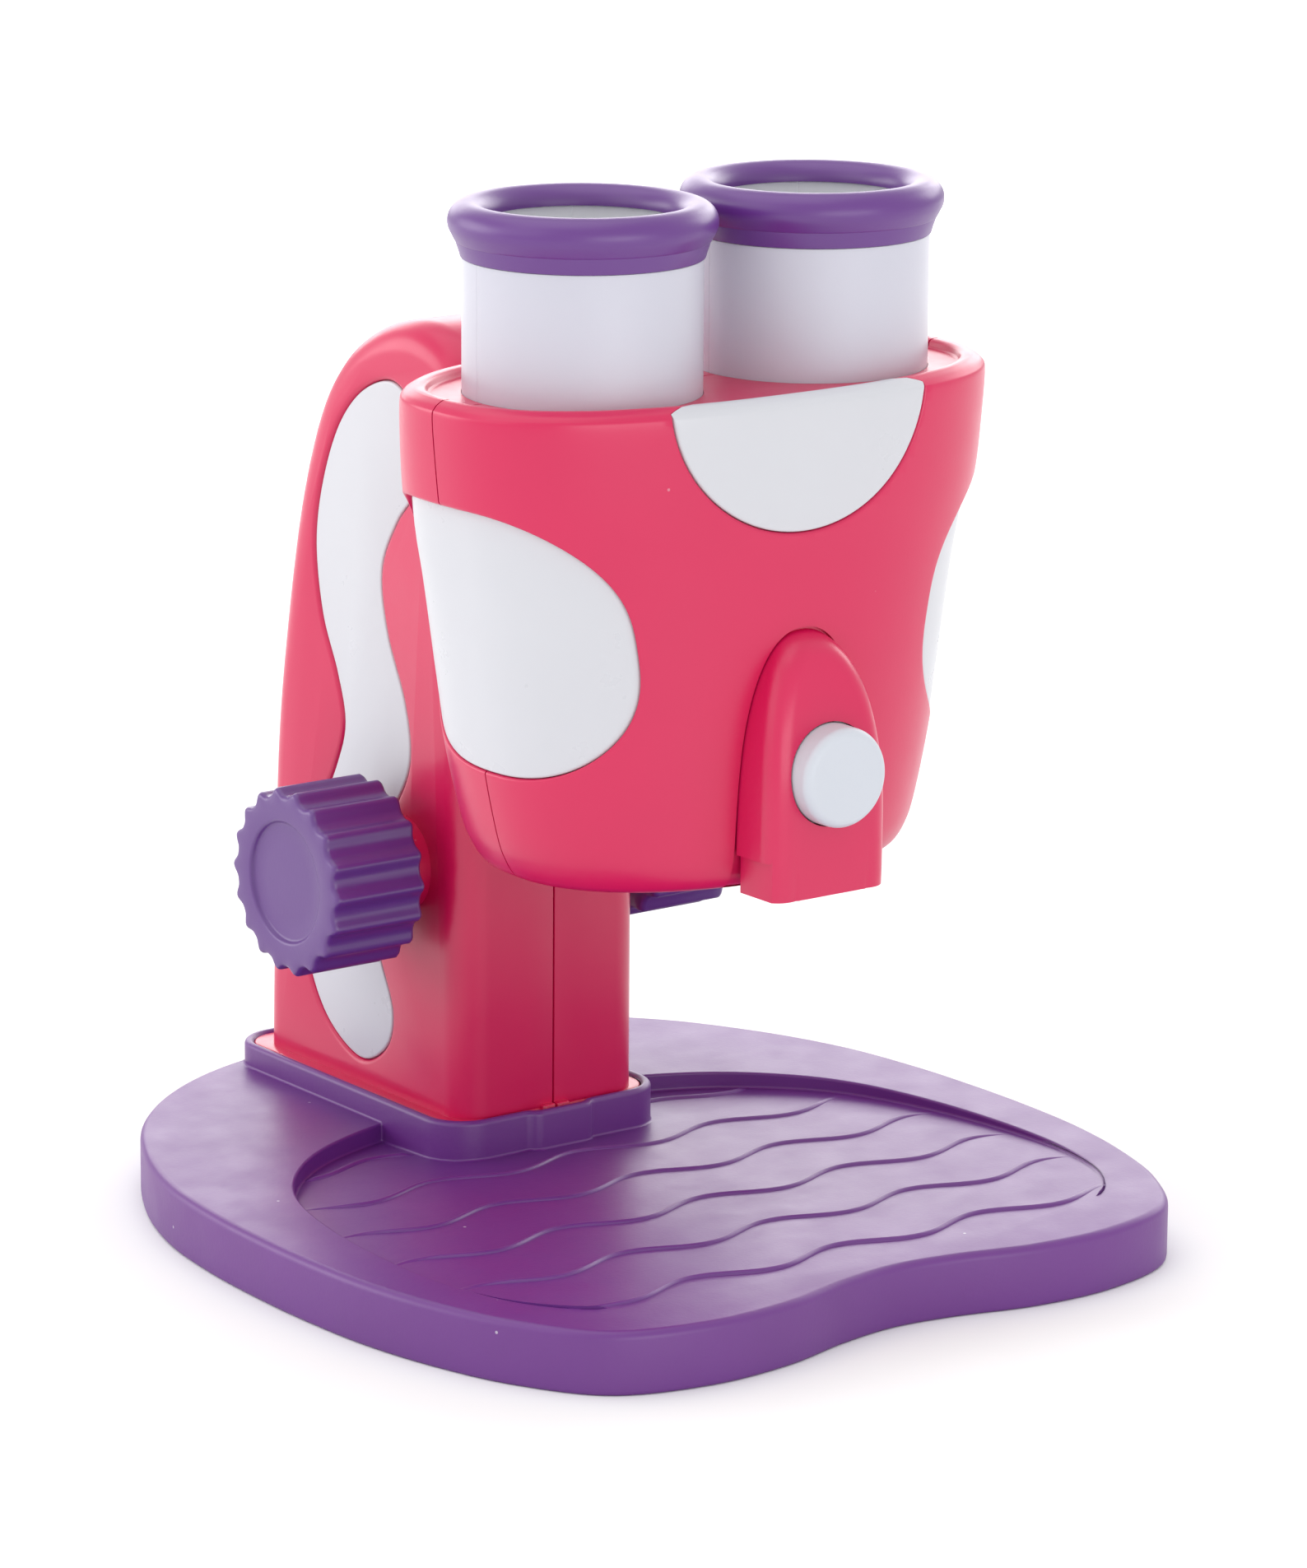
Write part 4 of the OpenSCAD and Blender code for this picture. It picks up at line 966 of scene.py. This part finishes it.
def make_eyepieces():
    lip = 3.9
    cup = [(TUBE_R - 2, 205.2), (TUBE_R + 0.1, 205.2), (TUBE_R + 0.32, 205.32), (TUBE_R + 0.42, 205.6),
           (TUBE_R + 0.6, 206.3), (TUBE_R + 1.25, 208.25), (TUBE_R + 1.27, 208.4), (TUBE_R + 1.4, 208.5),
           (TUBE_R + 1.52, 208.68)]
    cup += [(22.4 + lip * math.cos(w), CUP_TOP - lip + lip * math.sin(w))
            for w in [math.radians(-30 + 6 * k) for k in range(36)]]
    cup += [(TUBE_R - 2, 212)]
    tube = [(TUBE_R - TUBE_WALL, 160), (TUBE_R - 0.3, 160), (TUBE_R, 160.3), (TUBE_R, 174),
            (TUBE_R + 1.8, 174), (TUBE_R + 1.8, 176.5), (TUBE_R, 176.5), (TUBE_R, 205.1),
            (TUBE_R - 2, 205.1), (TUBE_R - 2, 211.9), (TUBE_R - 2.4, 211.9), (TUBE_R - 2.4, 198),
            (TUBE_R - TUBE_WALL, 198)]
    liner = [(TUBE_R - 2.45, 198.1), (TUBE_R - 2.45, 211.95), (TUBE_R - 3.4, 211.95),
             (TUBE_R - 3.6, 211.75), (TUBE_R - 3.6, 198.1)]
    nib = [(0.35, 0.0), (0.45, 0.22), (0.7, 0.28), (0.95, 0.2), (1.0, -0.4), (0.35, -0.4)]

    def out_from(degrees):
        """A level direction, turned from the front towards the right."""
        w = math.radians(degrees)
        return Vector((math.sin(w), -math.cos(w), 0))

    def line(foot, low, high, r):
        return rod(foot + Vector((0, 0, low)), foot + Vector((0, 0, high)), r, 12)

    for side, name, mark in ((-1, "left", -31), (1, "right", -25)):
        centre = Vector((side * EYE_X, HEAD_Y, 0))
        ring = body_of_mesh(turned(cup, centre, (0, 0, 1), 160))
        way = out_from(mark)
        spot = centre + Vector((0, 0, 206.9)) + way * (TUBE_R + 0.55)
        shape(ring, turned(nib, spot, way, 24), "UNION")
        finished(ring, "cup_" + name, "head", "eyecup", "eyecup_" + name, sharp=25)
        barrel = body_of_mesh(turned(tube, centre, (0, 0, 1), 160))
        lines = [line(centre + out_from(turn) * (TUBE_R + 0.1), 170, 208, 0.16) for turn in (-96, 84)]
        shape(barrel, together(*lines))
        finished(barrel, "tube_" + name, "head", "frosted", "eye_tube_" + name, sharp=40)
        # The inner sleeve takes the paler liner colour, which is painted light for the inside of the eyepiece
        # well.
        inner = body_of_mesh(turned(liner, centre, (0, 0, 1), 160))
        shape(inner, line(centre + out_from(150) * (TUBE_R - 3.66), 190, 220, 0.2))
        finished(inner, "tube_liner_" + name, "head", "liner", sharp=40)


# ---- pieces kept from the design ----

KEPT = {
    "natural": ["axle_bushes", "drive_pinion", "focus_carriage", "switch_stem"],
    "felt": ["brake_washers"],
    "steel": ["arm_screws", "base_screws", "battery_contacts", "door_screw", "knob_axle", "carriage_screws",
              "head_screws", "pod_screws"],
    "black": ["battery_tray", "inner_barrel_left", "inner_barrel_right", "objective_holder", "light_switch"],
    "cell": ["battery_cells"],
    "lens": ["eye_lens_left", "eye_lens_right", "objective_lenses", "led_window"],
    "circuit": ["light_board"],
    "lamp": ["led"],
}


def finish_kept():
    for finish, nodes in KEPT.items():
        for node in nodes:
            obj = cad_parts[node]
            obj.data.materials.clear()
            obj.data.materials.append(FINISHES[finish]())


# ---- room ----

def make_floor():
    ground = bpy.data.meshes.new("floor")
    bm = bmesh.new()
    bmesh.ops.create_grid(bm, x_segments=1, y_segments=1, size=9)
    bm.to_mesh(ground)
    bm.free()
    floor = bpy.data.objects.new("floor", ground)
    bpy.context.scene.collection.objects.link(floor)
    paper = bpy.data.materials.new("pale_paper")
    paper.use_nodes = True
    nodes, links = paper.node_tree.nodes, paper.node_tree.links
    shader = nodes["Principled BSDF"]
    fibre = nodes.new("ShaderNodeTexNoise")
    fibre.inputs["Scale"].default_value = 40
    where = nodes.new("ShaderNodeTexCoord")
    links.new(where.outputs["Object"], fibre.inputs["Vector"])
    pale = nodes.new("ShaderNodeMix")
    pale.data_type = "RGBA"
    pale.inputs["A"].default_value = (0.93, 0.93, 0.93, 1)
    pale.inputs["B"].default_value = (0.95, 0.95, 0.95, 1)
    links.new(fibre.outputs["Fac"], pale.inputs["Factor"])
    links.new(pale.outputs["Result"], shader.inputs["Base Color"])
    shader.inputs["Roughness"].default_value = 0.9
    shader.inputs["Specular IOR Level"].default_value = 0.0
    ground.materials.append(paper)


def softbox(name, place, aim, size, power):
    """A rectangular lamp turned towards its aim; these sizes are in metres."""
    lamp = bpy.data.lights.new(name, "AREA")
    lamp.shape = "RECTANGLE"
    lamp.size, lamp.size_y = size
    lamp.energy = power
    obj = bpy.data.objects.new(name, lamp)
    bpy.context.scene.collection.objects.link(obj)
    obj.location = place
    obj.rotation_euler = (Vector(aim) - Vector(place)).to_track_quat("-Z", "Y").to_euler()


def make_lights():
    softbox("softbox_left", (-1.4, 0.1, 0.9), (0, 0, 0.1), (1.2, 1.2), 2.5)
    softbox("softbox_top", (-0.2, 0.2, 1.5), (0, 0, 0.05), (1.4, 1.4), 4.5)
    softbox("softbox_front", (-0.2, -1.9, 0.35), (0, 0, 0.08), (1.6, 0.7), 6.5)
    softbox("softbox_rear_left", (-1.3, 1.5, 0.6), (0, 0, 0.1), (1.6, 0.9), 11)
    softbox("softbox_rear", (0.85, 1.35, 0.55), (0, 0, 0.15), (1.5, 0.6), 8)
    softbox("backdrop", (1.35, 1.95, 1.1), (1.35, 1.96, 0), (2.4, 1.4), 7)
    softbox("softbox_rear_right", (1.7, 0.5, 0.8), (0, 0, 0.1), (1.2, 0.7), 7)
    world = bpy.data.worlds.new("studio")
    bpy.context.scene.world = world
    world.use_nodes = True
    back = world.node_tree.nodes["Background"]
    back.inputs["Color"].default_value = (1, 1, 1, 1)
    back.inputs["Strength"].default_value = 0.86
    bpy.context.scene.view_settings.view_transform = "Standard"


def make_camera():
    camera = bpy.data.cameras.new("camera")
    camera.sensor_fit = "VERTICAL"
    camera.sensor_height = 36
    camera.lens = 148.93
    camera.clip_end = 50
    eye = bpy.data.objects.new("camera", camera)
    bpy.context.scene.collection.objects.link(eye)
    azimuth, pitch, roll = math.radians(-36.752), math.radians(13.912), 0.0073
    eye.matrix_world = (Matrix.Translation((-0.7593, -1.0310, 0.4076)) @ Matrix.Rotation(azimuth, 4, "Z")
                        @ Matrix.Rotation(math.pi / 2 - pitch, 4, "X") @ Matrix.Rotation(roll, 4, "Z"))
    bpy.context.scene.camera = eye


make_floor()
make_lights()
make_camera()
finish_kept()
make_base()
make_ridges()
make_arm()
make_knobs()
make_head()
make_light()
make_eyepieces()
